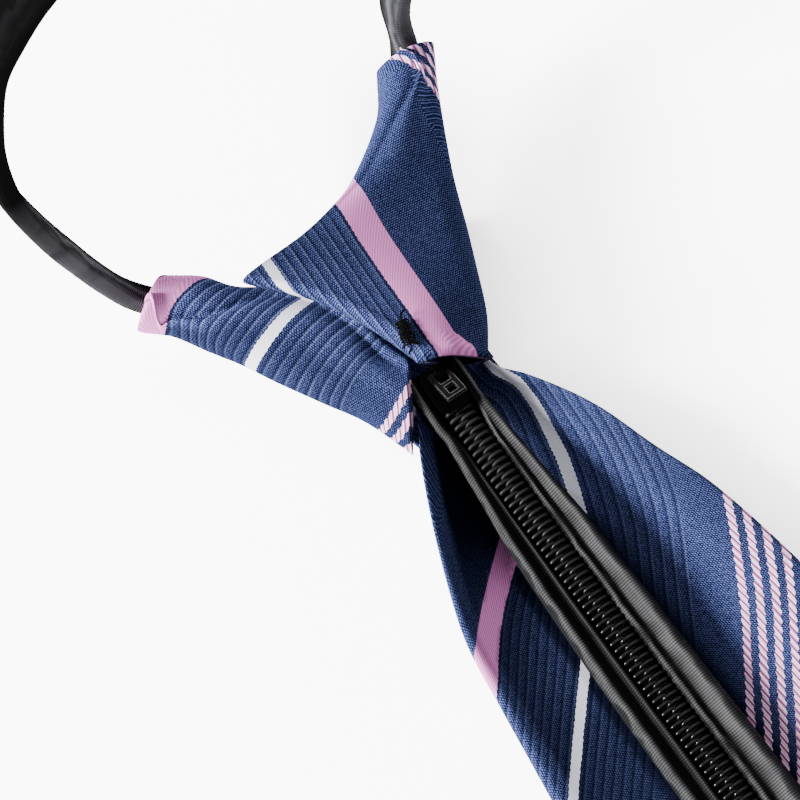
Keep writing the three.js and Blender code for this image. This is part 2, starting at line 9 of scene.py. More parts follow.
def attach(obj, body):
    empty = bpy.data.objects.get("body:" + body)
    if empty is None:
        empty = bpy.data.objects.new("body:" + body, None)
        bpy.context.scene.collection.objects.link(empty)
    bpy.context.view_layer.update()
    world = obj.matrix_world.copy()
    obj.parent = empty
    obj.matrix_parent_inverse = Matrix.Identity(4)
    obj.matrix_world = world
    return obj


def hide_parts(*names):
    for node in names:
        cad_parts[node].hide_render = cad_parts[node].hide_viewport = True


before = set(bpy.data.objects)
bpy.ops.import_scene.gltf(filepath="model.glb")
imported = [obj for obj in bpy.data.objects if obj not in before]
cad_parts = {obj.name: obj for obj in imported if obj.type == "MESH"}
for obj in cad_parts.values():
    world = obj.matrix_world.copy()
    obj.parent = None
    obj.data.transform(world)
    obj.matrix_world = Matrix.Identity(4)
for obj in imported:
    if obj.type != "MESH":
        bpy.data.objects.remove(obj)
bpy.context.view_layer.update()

MM = 0.001
TURN = 2 * math.pi
random = np.random.default_rng(7)

# The camera's directions
LOOK = Vector((0.2149, 0.3069, -0.9272))
RIGHT = Vector((0.8192, -0.5736, 0.0))
UP = Vector((0.5318, 0.7596, 0.3747))

# Sizes of the CAD model, in millimetres
CLOTH_WALL = 1.2
CLEARANCE = 0.3
BLADE_LENGTH = 480
BLADE_WIDTH = 78
BLADE_THICKNESS = 3.6
BLADE_SHIFT = 6
BLADE_CURL = 10
BLADE_LIFT = 2
BLADE_FLAT_SHARE = 0.25
CURL_POWER = 2.2
BLADE_POINT_DEPTH = 39
BLADE_POINT_WIDTH = 4
BLADE_HEM = 6
KNOT_WIDTH = 60
KNOT_HEIGHT = 42
KNOT_DEPTH = 23
KNOT_FOOT = 11
FRONT_WIDTH = 42
FRONT_HEIGHT = 24
FRONT_CURL = 5.2
FRONT_FLAT_SHARE = 0.3
WING_CROWN = 1.4
BAND_WIDTH = 6.4
BAND_TUCKED = 4.3
BAND_TUCK_SHARE = 0.1
BAND_FREE_SHARE = 0.15
BAND_THICKNESS = 3.4
LOOP_WIDTH = 88
LOOP_HEIGHT = 165
LOOP_DEPTH = 48
ZIPPER_AXIS = 1.7
ZIPPER_LENGTH = 200
ZIPPER_HEIGHT = 15.6
COIL_WIDTH = 4.2
SIDE_THICKNESS = 3
LEFT_SIDE_WIDTH = 7.4
RIGHT_SIDE_WIDTH = 8.6
SIDE_TOP = 2.6
STOP_LENGTH = 2.6
SLIDER_LENGTH = 7.4
SLIDER_WIDTH = 5.6
SLIDER_TOP = 1.7
NECK_LENGTH = 2
COIL_PITCH = 1.17


def column_at(rows, place, column):
    """The smooth value of a column at a place along the first column, without overshoot."""
    last = len(rows) - 1

    def slope(i):
        return (rows[i + 1][column] - rows[i][column]) / (rows[i + 1][0] - rows[i][0])

    def tangent(i):
        if i in (0, last):
            return slope(min(i, last - 1))
        before, after = slope(i - 1), slope(i)
        return 0 if before * after <= 0 else 2 * before * after / (before + after)

    i = 0
    while i < last - 1 and place > rows[i + 1][0]:
        i += 1
    span = rows[i + 1][0] - rows[i][0]
    t = min(max((place - rows[i][0]) / span, 0), 1)
    rise = (3 - 2 * t) * t * t
    return (
        rows[i][column] * (1 - rise)
        + rows[i + 1][column] * rise
        + tangent(i) * span * t * (1 - t) ** 2
        - tangent(i + 1) * span * t * t * (1 - t)
    )


def smoothstep(x, low, high):
    t = min(max((x - low) / (high - low), 0), 1)
    return t * t * (3 - 2 * t)


def ripple(x, y, seed):
    """Smooth waves of about -1 to 1 over two lengths, the same on every run."""
    a, b, c = seed * 1.7, seed * 2.9, seed * 0.6
    return (
        math.sin(x * 1.0 + y * 0.7 + a)
        + math.sin(x * -0.6 + y * 1.3 + b)
        + math.sin(x * 1.9 + y * 0.4 + c)
    ) / 3


# Meshes


def mesh_object(name, points, faces, material, attributes=None):
    mesh = bpy.data.meshes.new(name)
    mesh.from_pydata([tuple(p) for p in np.asarray(points) * MM], [], faces)
    mesh.materials.append(material)
    for key, values in (attributes or {}).items():
        layer = mesh.attributes.new(key, "FLOAT", "POINT")
        layer.data.foreach_set("value", np.asarray(values, dtype=np.float32).ravel())
    for polygon in mesh.polygons:
        polygon.use_smooth = True
    mesh.update()
    piece = bpy.data.objects.new(name, mesh)
    bpy.context.scene.collection.objects.link(piece)
    return piece


def wall_faces(rows, count, closed_across):
    """Faces of a wall between an outer and an inner grid of points, closed all round."""
    steps = count if closed_across else count - 1
    faces = []

    def at(side, row, k):
        return (side * rows + row) * count + (k % count)

    for row in range(rows - 1):
        for k in range(steps):
            faces.append((at(0, row, k), at(0, row, k + 1), at(0, row + 1, k + 1), at(0, row + 1, k)))
            faces.append((at(1, row, k), at(1, row + 1, k), at(1, row + 1, k + 1), at(1, row, k + 1)))
        if not closed_across:
            end = count - 1
            faces.append((at(0, row, 0), at(0, row + 1, 0), at(1, row + 1, 0), at(1, row, 0)))
            faces.append((at(0, row, end), at(1, row, end), at(1, row + 1, end), at(0, row + 1, end)))
    for k in range(steps):
        faces.append((at(0, 0, k), at(1, 0, k), at(1, 0, k + 1), at(0, 0, k + 1)))
        faces.append((at(0, rows - 1, k), at(0, rows - 1, k + 1), at(1, rows - 1, k + 1), at(1, rows - 1, k)))
    return faces


def cloth_piece(name, outer, inner, closed_across, stripe, along, material, shade=None):
    """A folded cloth from grids of points, with the pattern's two coordinates and its painted shade, which
    lifts into painted light above one.
    """
    rows, count = outer.shape[:2]
    points = np.concatenate([outer.reshape(-1, 3), inner.reshape(-1, 3)])
    shade = np.ones(outer.shape[:2]) if shade is None else shade
    both = {
        "shade": np.concatenate([shade.ravel(), shade.ravel()]),
        "stripe": np.concatenate([stripe.ravel(), np.full(stripe.size, PLAIN_PLACE)]),
        "along": np.concatenate([along.ravel(), along.ravel()]),
    }
    return mesh_object(name, points, wall_faces(rows, count, closed_across), material, both)


def tube_piece(name, rings, material, along, across):
    """A solid tube from rings of points, closed by a flat fan at each end."""
    rows, count = rings.shape[:2]
    points = [*rings.reshape(-1, 3), rings[0].mean(axis=0), rings[-1].mean(axis=0)]
    faces = []
    for row in range(rows - 1):
        for k in range(count):
            n = (k + 1) % count
            faces.append((row * count + k, row * count + n, (row + 1) * count + n, (row + 1) * count + k))
    first, end = rows * count, (rows - 1) * count
    for k in range(count):
        n = (k + 1) % count
        faces.append((first, n, k))
        faces.append((first + 1, end + k, end + n))
    values = {
        "along": [*np.repeat(along, count), along[0], along[-1]],
        "across": [*np.tile(across, rows), 0, 0],
    }
    return mesh_object(name, points, faces, material, values)


def face_outward(piece):
    """Turns a closed mesh's faces outwards."""
    made = bmesh.new()
    made.from_mesh(piece.data)
    bmesh.ops.recalc_face_normals(made, faces=made.faces)
    if made.calc_volume(signed=True) < 0:
        bmesh.ops.reverse_faces(made, faces=made.faces)
    made.to_mesh(piece.data)
    made.free()


# Materials


def colour_of(value):
    """A colour as the nodes take it, from a socket, three numbers or one number for a grey."""
    if isinstance(value, bpy.types.NodeSocket):
        return value
    return (*value, 1) if isinstance(value, tuple) else (value, value, value, 1)


def grey(value, tint=1.04):
    """A dark grey with a trace of blue."""
    return (value, value, value * tint)


class Net:
    """A material's nodes, made by short calls."""

    def __init__(self, name):
        self.material = bpy.data.materials.new(name)
        self.material.use_nodes = True
        self.tree = self.material.node_tree
        self.shader = self.tree.nodes["Principled BSDF"]

    def node(self, kind, **inputs):
        made = self.tree.nodes.new(kind)
        for key, value in inputs.items():
            self.put(made.inputs[key.replace("_", " ")], value)
        return made

    def put(self, socket, value):
        if isinstance(value, bpy.types.NodeSocket):
            self.tree.links.new(value, socket)
        else:
            socket.default_value = value

    def math(self, operation, a, b=0.0, c=0.0):
        made = self.tree.nodes.new("ShaderNodeMath")
        made.operation = operation
        for socket, value in zip(made.inputs, (a, b, c)):
            self.put(socket, value)
        return made.outputs[0]

    def vector_math(self, operation, a, b):
        made = self.tree.nodes.new("ShaderNodeVectorMath")
        made.operation = operation
        self.put(made.inputs[0], a)
        self.put(made.inputs["Scale" if operation == "SCALE" else 1], b)
        return made.outputs["Value" if operation == "DOT_PRODUCT" else "Vector"]

    def product(self, first, *others):
        for other in others:
            first = self.math("MULTIPLY", first, other)
        return first

    def blend(self, *parts):
        """The sum of values, each times its own share."""
        total = None
        for value, share in parts:
            scaled = self.product(value, share)
            total = scaled if total is None else self.math("ADD", total, scaled)
        return total

    def wave(self, place, pitch, power=1.0):
        """A wave of 0 to 1 along a place in millimetres, sharpened by a power."""
        turned = self.math("SINE", self.product(place, TURN / pitch))
        raised = self.math("MULTIPLY_ADD", turned, 0.5, 0.5)
        return raised if power == 1.0 else self.math("POWER", raised, power)

    def between(self, value, low, high):
        """One where a value lies between two numbers, nought elsewhere."""
        return self.product(self.math("GREATER_THAN", value, low), self.math("LESS_THAN", value, high))

    def attribute(self, name):
        made = self.tree.nodes.new("ShaderNodeAttribute")
        made.attribute_name = name
        return made.outputs["Fac"]

    def coordinate(self, axis, space="Object"):
        place = self.tree.nodes.new("ShaderNodeTexCoord").outputs[space]
        return self.node("ShaderNodeSeparateXYZ", Vector=place).outputs[axis]

    def ramp(self, factor, stops):
        made = self.tree.nodes.new("ShaderNodeValToRGB")
        elements = made.color_ramp.elements
        for element, (place, colour) in zip(elements, (stops[0], stops[-1])):
            element.position, element.color = place, colour_of(colour)
        for place, colour in stops[1:-1]:
            elements.new(place).color = colour_of(colour)
        self.put(made.inputs["Fac"], factor)
        return made.outputs["Color"]

    def mix(self, factor, a, b):
        made = self.tree.nodes.new("ShaderNodeMix")
        made.data_type = "RGBA"
        self.put(made.inputs[0], factor)
        self.put(made.inputs[6], colour_of(a))
        self.put(made.inputs[7], colour_of(b))
        return made.outputs[2]

    def noise(self, size, detail=2.0):
        """Noise over the object's own place, with patches of the given size in millimetres."""
        place = self.tree.nodes.new("ShaderNodeTexCoord").outputs["Object"]
        made = self.node("ShaderNodeTexNoise", Vector=place, Scale=1 / (size * MM), Detail=detail)
        return made.outputs["Fac"]

    def bump(self, height, distance, strength):
        made = self.node("ShaderNodeBump", Height=height, Distance=distance * MM, Strength=strength)
        self.put(self.shader.inputs["Normal"], made.outputs["Normal"])

    def finish(self, **inputs):
        for key, value in inputs.items():
            self.put(self.shader.inputs[key.replace("_", " ")], value)
        return self.material


# NAVY_LIGHT is partly painted sheen on the floats, NAVY_PAINTED_GLINT a painted glint on the ribs, NAVY_SHADE
# the colour of painted shade
NAVY = (0.0095, 0.0135, 0.047)
NAVY_DARK = (0.0012, 0.002, 0.0085)
NAVY_LIGHT = (0.075, 0.095, 0.22)
NAVY_PAINTED_GLINT = (0.2, 0.24, 0.44)
NAVY_SHADE = (0.0004, 0.0006, 0.002)
PINK = (0.58, 0.2, 0.46)
PINK_LIGHT = (0.88, 0.58, 0.78)
PINK_DARK = (0.13, 0.03, 0.1)
WHITE = (0.62, 0.62, 0.68)
WHITE_DARK = (0.3, 0.3, 0.36)
BRIGHTEST = (0.9, 0.9, 0.9)
# Places of the pattern over one repeat, in millimetres
PERIOD = 64.0
PINK_END = 4.5
WHITE_START, WHITE_END = 18.3, 20.0
RIBS_END = 33.0
PLAIN_PLACE = 36.0
THIN_START, THIN_PITCH, THIN_WIDTH = 39.2, 2.3, 1.1
THIN_END = THIN_START + 4 * THIN_PITCH + THIN_WIDTH
# Pitches of the weave, in millimetres
TWILL_PITCH, FLOAT_PITCH = 0.42, 0.34
RIB_PITCH, RIB_FLOATS = 1.6, 0.5
GROOVE_SHIFT = 0.42
THIN_TWIST = 1.5
BROAD_SLANT = 0.5
EDGE_LOBES = 0.95
THREAD_SIZE = 0.28
CLOTH_RELIEF = 0.09


def striped_fabric(name, rows_share):
    """Woven silk-like cloth: navy with pink and white stripes, ribs between them and a fine twill, with
    painted sheen, painted shade and painted light.
    """
    net = Net(name)
    stripe = net.attribute("stripe")
    along = net.attribute("along")

    # One repeat of the stripes, with lobed edges that wander a little
    repeat = net.product(net.math("FRACT", net.product(stripe, 1 / PERIOD)), PERIOD)
    thin_part = net.between(repeat, THIN_START - 1, THIN_END + 1)
    lobes = net.mix(thin_part, net.wave(along, EDGE_LOBES), net.wave(along, THIN_TWIST))
    swing = net.math("MULTIPLY_ADD", thin_part, 0.1, 0.1)
    edge = net.product(net.math("SUBTRACT", lobes, 0.5), swing)
    wander = net.math("MULTIPLY_ADD", net.noise(2.5), 0.3, -0.15)
    moved = net.math("ADD", net.math("ADD", repeat, edge), wander)
    pink = net.math("LESS_THAN", moved, PINK_END)
    white = net.between(moved, WHITE_START, WHITE_END)
    from_thin = net.math("SUBTRACT", moved, THIN_START)
    in_pitch = net.math("FRACT", net.product(from_thin, 1 / THIN_PITCH))
    line = net.math("LESS_THAN", in_pitch, THIN_WIDTH / THIN_PITCH)
    thin = net.product(net.between(moved, THIN_START, THIN_END), line)
    bright = net.math("ADD", net.math("ADD", pink, white), thin)
    ribbed = net.math("SUBTRACT", net.between(moved, PINK_END, RIBS_END), white)

    # Navy: a twill of tiny floats with dark holes between them, and uneven threads; the floats' lighter tone
    # is partly painted sheen and the holes' darker tone partly painted shade
    twill = net.wave(net.blend((stripe, 1.0), (along, 0.75)), TWILL_PITCH)
    floats = net.product(twill, net.wave(along, FLOAT_PITCH))
    speck = net.noise(THREAD_SIZE, 2.0)
    tone = net.blend((floats, 0.55), (speck, 0.8))
    navy = net.ramp(tone, [(0.32, NAVY_DARK), (0.5, NAVY), (0.85, NAVY_LIGHT)])

    # Ribs along the stripes: a row of floats with a painted glint beside a groove, bumped in and darkened by
    # painted shade
    dots = net.math("MULTIPLY_ADD", net.wave(along, RIB_FLOATS, 1.6), 0.85, 0.15)
    row = net.product(net.wave(stripe, RIB_PITCH, 16.0), dots, ribbed)
    groove = net.product(net.wave(net.math("ADD", stripe, GROOVE_SHIFT), RIB_PITCH, 5.0), ribbed, 0.6)
    faint = net.math("MULTIPLY_ADD", net.noise(9.0), 1.2 * rows_share, -0.2 * rows_share)
    navy = net.mix(groove, navy, NAVY_DARK)
    navy = net.mix(net.product(row, faint), navy, NAVY_PAINTED_GLINT)

    # Coloured stripes: slanting floats on the broad one, twisted like a rope on the thin ones
    slanted = net.wave(net.blend((stripe, 1.0), (along, 0.7)), BROAD_SLANT)
    twist = net.product(net.wave(net.blend((along, 1.0), (stripe, 1.4)), THIN_TWIST, 3.0), thin)
    darker = net.blend((slanted, 0.45), (twist, 0.9), (speck, 0.25))
    base = net.mix(white, net.mix(thin, PINK, PINK_LIGHT), WHITE)
    coloured = net.mix(darker, base, net.mix(white, PINK_DARK, WHITE_DARK))

    # Painted shade, which the coloured stripes take less of, and painted light where it is more than one
    given = net.attribute("shade")
    softened = net.math("POWER", given, net.math("MULTIPLY_ADD", bright, -0.8, 1.0))
    shade = net.math("MAXIMUM", given, softened)
    shaded = net.mix(shade, NAVY_SHADE, net.mix(bright, navy, coloured))
    painted_light_lift = net.vector_math("SCALE", shaded, net.math("MAXIMUM", shade, 1.0))

    height = net.blend((floats, 0.3), (speck, 0.2), (row, 0.3), (bright, 0.35), (groove, -1.0))
    net.bump(height, CLOTH_RELIEF, 0.7)
    return net.finish(
        Base_Color=net.vector_math("MINIMUM", painted_light_lift, BRIGHTEST),
        Roughness=net.math("MULTIPLY_ADD", speck, 0.2, 0.4),
        Specular_IOR_Level=0.0,
    )


RIB_UNEVEN = 0.12
TAPE_THREAD = 0.45
TAPE_RELIEF = 0.05
SHEEN_DRIFT = 0.4


def tape_fabric(name, rib_pitch, rough, gloss, low, high=None, sheen_bands=None, tint=1.04):
    """Black woven tape with fine ribs across it, of two tones or in lengthwise bands of painted sheen and
    painted shade.
    """
    net = Net(name)
    along = net.attribute("along")
    across = net.attribute("across")
    uneven = net.math("MULTIPLY_ADD", net.noise(1.2), RIB_UNEVEN, -RIB_UNEVEN / 2)
    rib = net.wave(net.math("ADD", along, uneven), rib_pitch)
    weave = net.blend((rib, 0.8), (net.wave(across, TAPE_THREAD), 0.2))
    speck = net.noise(0.35, 3.0)
    if sheen_bands:
        # Lengthwise bands of painted sheen and painted shade, wandering a little
        drift = net.math("MULTIPLY_ADD", net.noise(5.0), SHEEN_DRIFT, -SHEEN_DRIFT / 2)
        bands = [(place, grey(value, tint)) for place, value in sheen_bands]
        painted_sheen = net.ramp(net.math("MULTIPLY_ADD", across, 0.1, drift), bands)
        # Painted shade: high up on the neck band the tone goes over to the darkest grey
        high_up = net.ramp(net.product(net.coordinate("Z"), 10.0), [(0.35, 0.0), (0.65, 0.97)])
        painted_sheen = net.mix(high_up, painted_sheen, low)
        shaded = net.mix(net.math("SUBTRACT", 1.0, weave), painted_sheen, net.mix(0.85, painted_sheen, 0.0))
    else:
        shaded = net.ramp(net.blend((weave, 0.6), (speck, 0.5)), [(0.25, low), (0.85, high)])
    net.bump(net.blend((weave, 1.0), (speck, 0.3)), TAPE_RELIEF, 0.9)
    return net.finish(
        Base_Color=shaded,
        Roughness=net.math("MULTIPLY_ADD", speck, 0.2, rough),
        Specular_IOR_Level=gloss,
    )


def coil_nylon():
    """Black nylon, darker with painted shade and rougher beside the slider, brighter and glossier further
    down.
    """
    net = Net("coil_nylon")
    # Painted shade beside the slider, fading out further down
    out_of_shade = net.ramp(net.product(net.coordinate("Y"), -10.0), [(0.17, 0.0), (0.5, 1.0)])
    net.bump(net.noise(0.6), 0.02, 0.5)
    return net.finish(
        Base_Color=net.mix(out_of_shade, grey(0.0003), grey(0.0024)),
        Roughness=net.math("MULTIPLY_ADD", out_of_shade, -0.4, 0.65),
        Specular_IOR_Level=0.25,
    )


def lacquered_metal(name, rough, gloss, depth, edge_highlight_grey):
    """Black enamelled metal, with a painted highlight along the edges of its lower half."""
    net = Net(name)
    rounded = net.node("ShaderNodeBevel", Radius=0.3 * MM).outputs["Normal"]
    flat = net.tree.nodes.new("ShaderNodeNewGeometry").outputs["Normal"]
    edge = net.ramp(net.vector_math("DOT_PRODUCT", rounded, flat), [(0.6, 1.0), (0.985, 0.0)])
    low_half = net.ramp(net.coordinate("Y", "Generated"), [(0.55, 1.0), (0.7, 0.0)])
    speck = net.noise(0.5, 4.0)
    enamel = net.ramp(speck, [(0.35, depth / 4), (0.75, depth)])
    net.bump(net.noise(0.25), 0.012, 0.6)
    return net.finish(
        # Painted highlight on the edges of the lower half
        Base_Color=net.mix(net.product(edge, low_half), enamel, edge_highlight_grey),
        Roughness=net.math("MULTIPLY_ADD", speck, 0.12, rough),
        Specular_IOR_Level=gloss,
    )


def black_thread():
    """Dull sewing thread with its twist."""
    net = Net("black_thread")
    net.bump(net.wave(net.attribute("along"), 0.3), 0.05, 0.8)
    return net.finish(
        Base_Color=net.ramp(net.noise(0.3), [(0.3, grey(0.0004)), (0.8, grey(0.002))]),
        Roughness=0.6,
        Specular_IOR_Level=0.02,
    )


# Painted sheen and painted shade across the zipper's tapes, from the coil (0) to the outer edge (0.8)
# place, grey
LEFT_PAINTED_SHEEN = [
    (0.0, 0.004),
    (0.12, 0.012),
    (0.3, 0.004),
    (0.5, 0.006),
    (0.62, 0.028),
    (0.7, 0.045),
    (0.76, 0.012),
]
RIGHT_PAINTED_SHEEN = [
    (0.0, 0.006),
    (0.09, 0.045),
    (0.16, 0.012),
    (0.26, 0.0025),
    (0.4, 0.03),
    (0.52, 0.05),
    (0.6, 0.02),
    (0.78, 0.002),
]
# Painted sheen and painted shade across the neck band's facets, from its outer edge (0.18) to its inner one
# (0.82)
BAND_PAINTED_SHEEN = [(0.18, 0.05), (0.3, 0.02), (0.44, 0.09), (0.5, 0.03), (0.66, 0.008), (0.82, 0.003)]
TAPE_RIBS, BAND_RIBS = 0.42, 0.45

fabric = striped_fabric("striped_fabric", 1.0)
blade_fabric = striped_fabric("striped_blade_fabric", 0.45)
left_tape = tape_fabric("left_tape", TAPE_RIBS, 0.4, 0.06, grey(0.0012), sheen_bands=LEFT_PAINTED_SHEEN)
right_tape = tape_fabric("right_tape", TAPE_RIBS, 0.4, 0.06, grey(0.0012), sheen_bands=RIGHT_PAINTED_SHEEN)
plain_tape = tape_fabric("plain_tape", TAPE_RIBS, 0.5, 0.02, grey(0.0005), high=grey(0.002))
strap = tape_fabric("band_weave", BAND_RIBS, 0.5, 0.0, grey(0.0012), sheen_bands=BAND_PAINTED_SHEEN, tint=1.1)
nylon = coil_nylon()
metal = lacquered_metal("slider_enamel", 0.5, 0.01, 0.0008, 0.001)
glossy_metal = lacquered_metal("tab_enamel", 0.1, 0.2, 0.003, 0.09)
thread = black_thread()

# The blade: the same rows as the CAD's
# down, width, shift, curl, lift, open
BLADE_ROWS = [
    (0.005, 0.16, 0.75, 0.55, 1.6, 0.3),
    (0.0135, 0.2, 0.66, 0.78, 1, 0.3),
    (0.021, 0.26, 0.66, 0.9, 1, 0.25),
    (0.042, 0.395, 0.7, 1, 0.6, 0.16),
    (0.0625, 0.495, 0.71, 0.9, 0, 0.12),
    (0.083, 0.583, 0.79, 0.75, 0, 0.1),
    (0.104, 0.63, 0.9, 0.6, 0, 0.09),
    (0.125, 0.667, 0.95, 0.5, 0, 0.08),
    (0.167, 0.718, 0.92, 0.35, 0, 0.07),
    (0.25, 0.763, 0.75, 0.15, 0, 0.06),
    (0.42, 0.833, 0.5, 0.03, 0, 0.05),
    (0.62, 0.923, 0.33, 0, 0, 0.02),
    (0.8, 0.98, 0.28, 0, 0, 0.02),
    (0.92, 1.02, 0.28, 0, 0, 0.85),
    (1, 1.06, 0.28, 0, 0, 0.9),
]
STRIPE_SLANT = math.radians(36)
STRIPE_START = 17.8
BLADE_TUCK = 2.4
# How far the pattern of the right flap runs ahead of the left one's, from the pinch down, in millimetres
# down, ahead
AHEAD_ROWS = [(0, 7.9), (8, 10.4), (20, 15.6), (30, 16.8), (42, 19.2), (60, 21), (70, 22), (90, 23), (500, 23)]
# Points across the blade's section, on each flap, round each fold and along the front
FLAP_POINTS = 22
FOLD_POINTS = 9
FRONT_POINTS = 35
# The left fold's first point, the right fold's last one and the one past which it faces up
LEFT_FOLD = FLAP_POINTS
RIGHT_FOLD = FLAP_POINTS + 2 * FOLD_POINTS + FRONT_POINTS - 1
RIGHT_TURN = RIGHT_FOLD - 6
# The left flap's stripes stop running ahead past this place, down to 60 mm below the pinch
LEFT_STOP, LEFT_STOP_EASE, LEFT_STOP_DOWN = 50.5, 0.8, 60
BLADE_LUMP = 0.22


def trough_height(across, flat_share, curl):
    past = max(0, (abs(across) - flat_share) / (1 - flat_share))
    return curl * past**CURL_POWER


def blade_section(y):
    """Outer line, inner line and the unfolded coordinate of the blade's section."""
    down = -y / BLADE_LENGTH
    width, shift, curl, lift, open_share = (column_at(BLADE_ROWS, down, c) for c in range(1, 6))
    taper = min(1, (y + BLADE_LENGTH) / BLADE_POINT_DEPTH)
    half = max(BLADE_POINT_WIDTH / 2, min(width, 1) * BLADE_WIDTH / 2 * taper)
    hemmed = max(open_share * half, CLEARANCE)
    opening = min(hemmed, max(CLEARANCE, half - BLADE_HEM))
    reach = half - BLADE_THICKNESS / 2
    centre = shift * BLADE_SHIFT
    fold_turns = np.linspace(-math.pi / 2, math.pi / 2, FOLD_POINTS)
    lines = []
    for inset in (0, CLOTH_WALL):
        radius = BLADE_THICKNESS / 2 - inset
        top = BLADE_THICKNESS - inset
        middle = BLADE_THICKNESS / 2
        rounds = [(radius * math.cos(turn), middle + radius * math.sin(turn)) for turn in fold_turns]
        flat = [(x, top) for x in np.linspace(-opening, -reach, FLAP_POINTS, endpoint=False)]
        flat += [(-reach - x, z) for x, z in reversed(rounds)]
        flat += [(x, inset) for x in np.linspace(-reach, reach, FRONT_POINTS + 2)[1:-1]]
        flat += [(reach + x, z) for x, z in rounds]
        flat += [(x, top) for x in np.linspace(reach, opening, FLAP_POINTS + 1)[1:]]
        level = lift * BLADE_LIFT
        curled = [trough_height(x / half, BLADE_FLAT_SHARE, curl * BLADE_CURL) for x, _ in flat]
        lines.append([(centre + x, y, level + z + rise) for (x, z), rise in zip(flat, curled)])
    outer = np.array(lines[0])
    steps = np.linalg.norm(np.diff(outer, axis=0), axis=1)
    unfolded = np.concatenate([[0], np.cumsum(steps)])
    unfolded -= unfolded[len(unfolded) // 2]
    return outer, np.array(lines[1]), unfolded


def blade_shade(places, outer, unfolded, stripe):
    """The blade cloth's painted shade: painted shadow inside the trough and beside the zipper, painted light
    below the knot.
    """
    shade = np.ones_like(stripe)
    for row, place in enumerate(places):
        width = zipper_at(-place)[1]
        left_edge = ZIPPER_AXIS - width * LEFT_SIDE_WIDTH
        right_edge = ZIPPER_AXIS + width * RIGHT_SIDE_WIDTH
        # Painted shade and painted light for this row: painted shadow in the trough and beside the tape,
        # painted light on the right flap near the knot
        lower = smoothstep(place, 22, 36) * (1 - 0.45 * smoothstep(place, 45, 62))
        lit = 1 + 0.5 * (1 - smoothstep(place, 16, 44))
        near_knot = 1 - smoothstep(place, 16, 34)
        rolled_rows = 0.4 * (1 - smoothstep(place, 60, 80))
        past_zipper = smoothstep(place, ZIPPER_LENGTH - 4, ZIPPER_LENGTH + 4)
        for k, x in enumerate(outer[row, :, 0]):
            if k < LEFT_FOLD:
                from_fold = abs(unfolded[row, LEFT_FOLD] - unfolded[row, k])
                strip = 1 - smoothstep(from_fold, 1.2, 2.6)
                shade[row, k] = 0.08 + 0.92 * max(strip, 0.5 * lower * smoothstep(left_edge - x, 0, 1.4))
            # The right flap: painted shadow beside the right tape and painted shade towards its rolled fold
            elif k > RIGHT_TURN:
                reach = 3.2 + 2.2 * lower - 2.5 * near_knot
                beside = smoothstep(x - right_edge, 0.4 - near_knot, reach)
                from_fold = abs(unfolded[row, RIGHT_FOLD] - unfolded[row, k])
                rolled = rolled_rows * (1 - smoothstep(from_fold, 0, 8))
                shade[row, k] = (0.05 + 0.95 * beside) * lit * (1 - rolled)
            shade[row, k] = max(shade[row, k], past_zipper)
            # Painted light on the left flap's pink stripe
            if k < LEFT_FOLD and stripe[row, k] % PERIOD < PINK_END:
                shade[row, k] = max(shade[row, k], 1.5 * lower)
    return shade


def make_blade():
    point_start = BLADE_LENGTH - BLADE_POINT_DEPTH
    places = [*np.arange(BLADE_TUCK, 110, 1.2), *np.arange(110, point_start, 3)]
    places += [*np.linspace(point_start, BLADE_LENGTH, 20)]
    sections = [blade_section(-place) for place in places]
    outer, inner, unfolded = (np.array([section[part] for section in sections]) for part in range(3))
    down = -np.array(places)[:, None]
    for row, k in np.ndindex(outer.shape[:2]):
        x, y = outer[row, k, :2]
        ease = min(1.0, (-y - BLADE_TUCK) / 25)
        lump = BLADE_LUMP * ease * (1 + ripple(x / 7, y / 13, 1))
        outer[row, k, 2] += lump
        inner[row, k, 2] += lump

    across, up = math.cos(STRIPE_SLANT), math.sin(STRIPE_SLANT)
    share = np.linspace(0, 1, unfolded.shape[1])
    to_right = np.clip((share - 0.3) / 0.4, 0, 1)
    on_left = 1 - np.clip((share - 0.33) / 0.1, 0, 1)
    ahead = np.array([column_at(AHEAD_ROWS, place, 1) for place in places])[:, None]
    stripe = STRIPE_START - (unfolded * across + down * up) + ahead * to_right**2 * (3 - 2 * to_right)
    kept = LEFT_STOP + np.logaddexp(0, (stripe - LEFT_STOP) / LEFT_STOP_EASE) * LEFT_STOP_EASE
    stripe = stripe + (kept - stripe) * on_left * (down > -LEFT_STOP_DOWN)
    along = down * across - unfolded * up
    shade = blade_shade(places, outer, unfolded, stripe)
    piece = cloth_piece("blade_cloth", outer, inner, False, stripe, along, blade_fabric, shade)

    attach(piece, "tie")
    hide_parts("blade")


# The knot's front, a shallow tray
# up, width, shift, curl
FRONT_ROWS = [
    (-0.46, 0.38, 0.7, 0.72),
    (-0.3, 0.43, 0.65, 1.15),
    (-0.1, 0.46, 0.55, 1),
    (0.3, 0.58, 0.35, 0.95),
    (0.7, 0.76, 0.15, 0.9),
    (1, 0.9, 0, 0.85),
]


FRONT_STEPS = 48


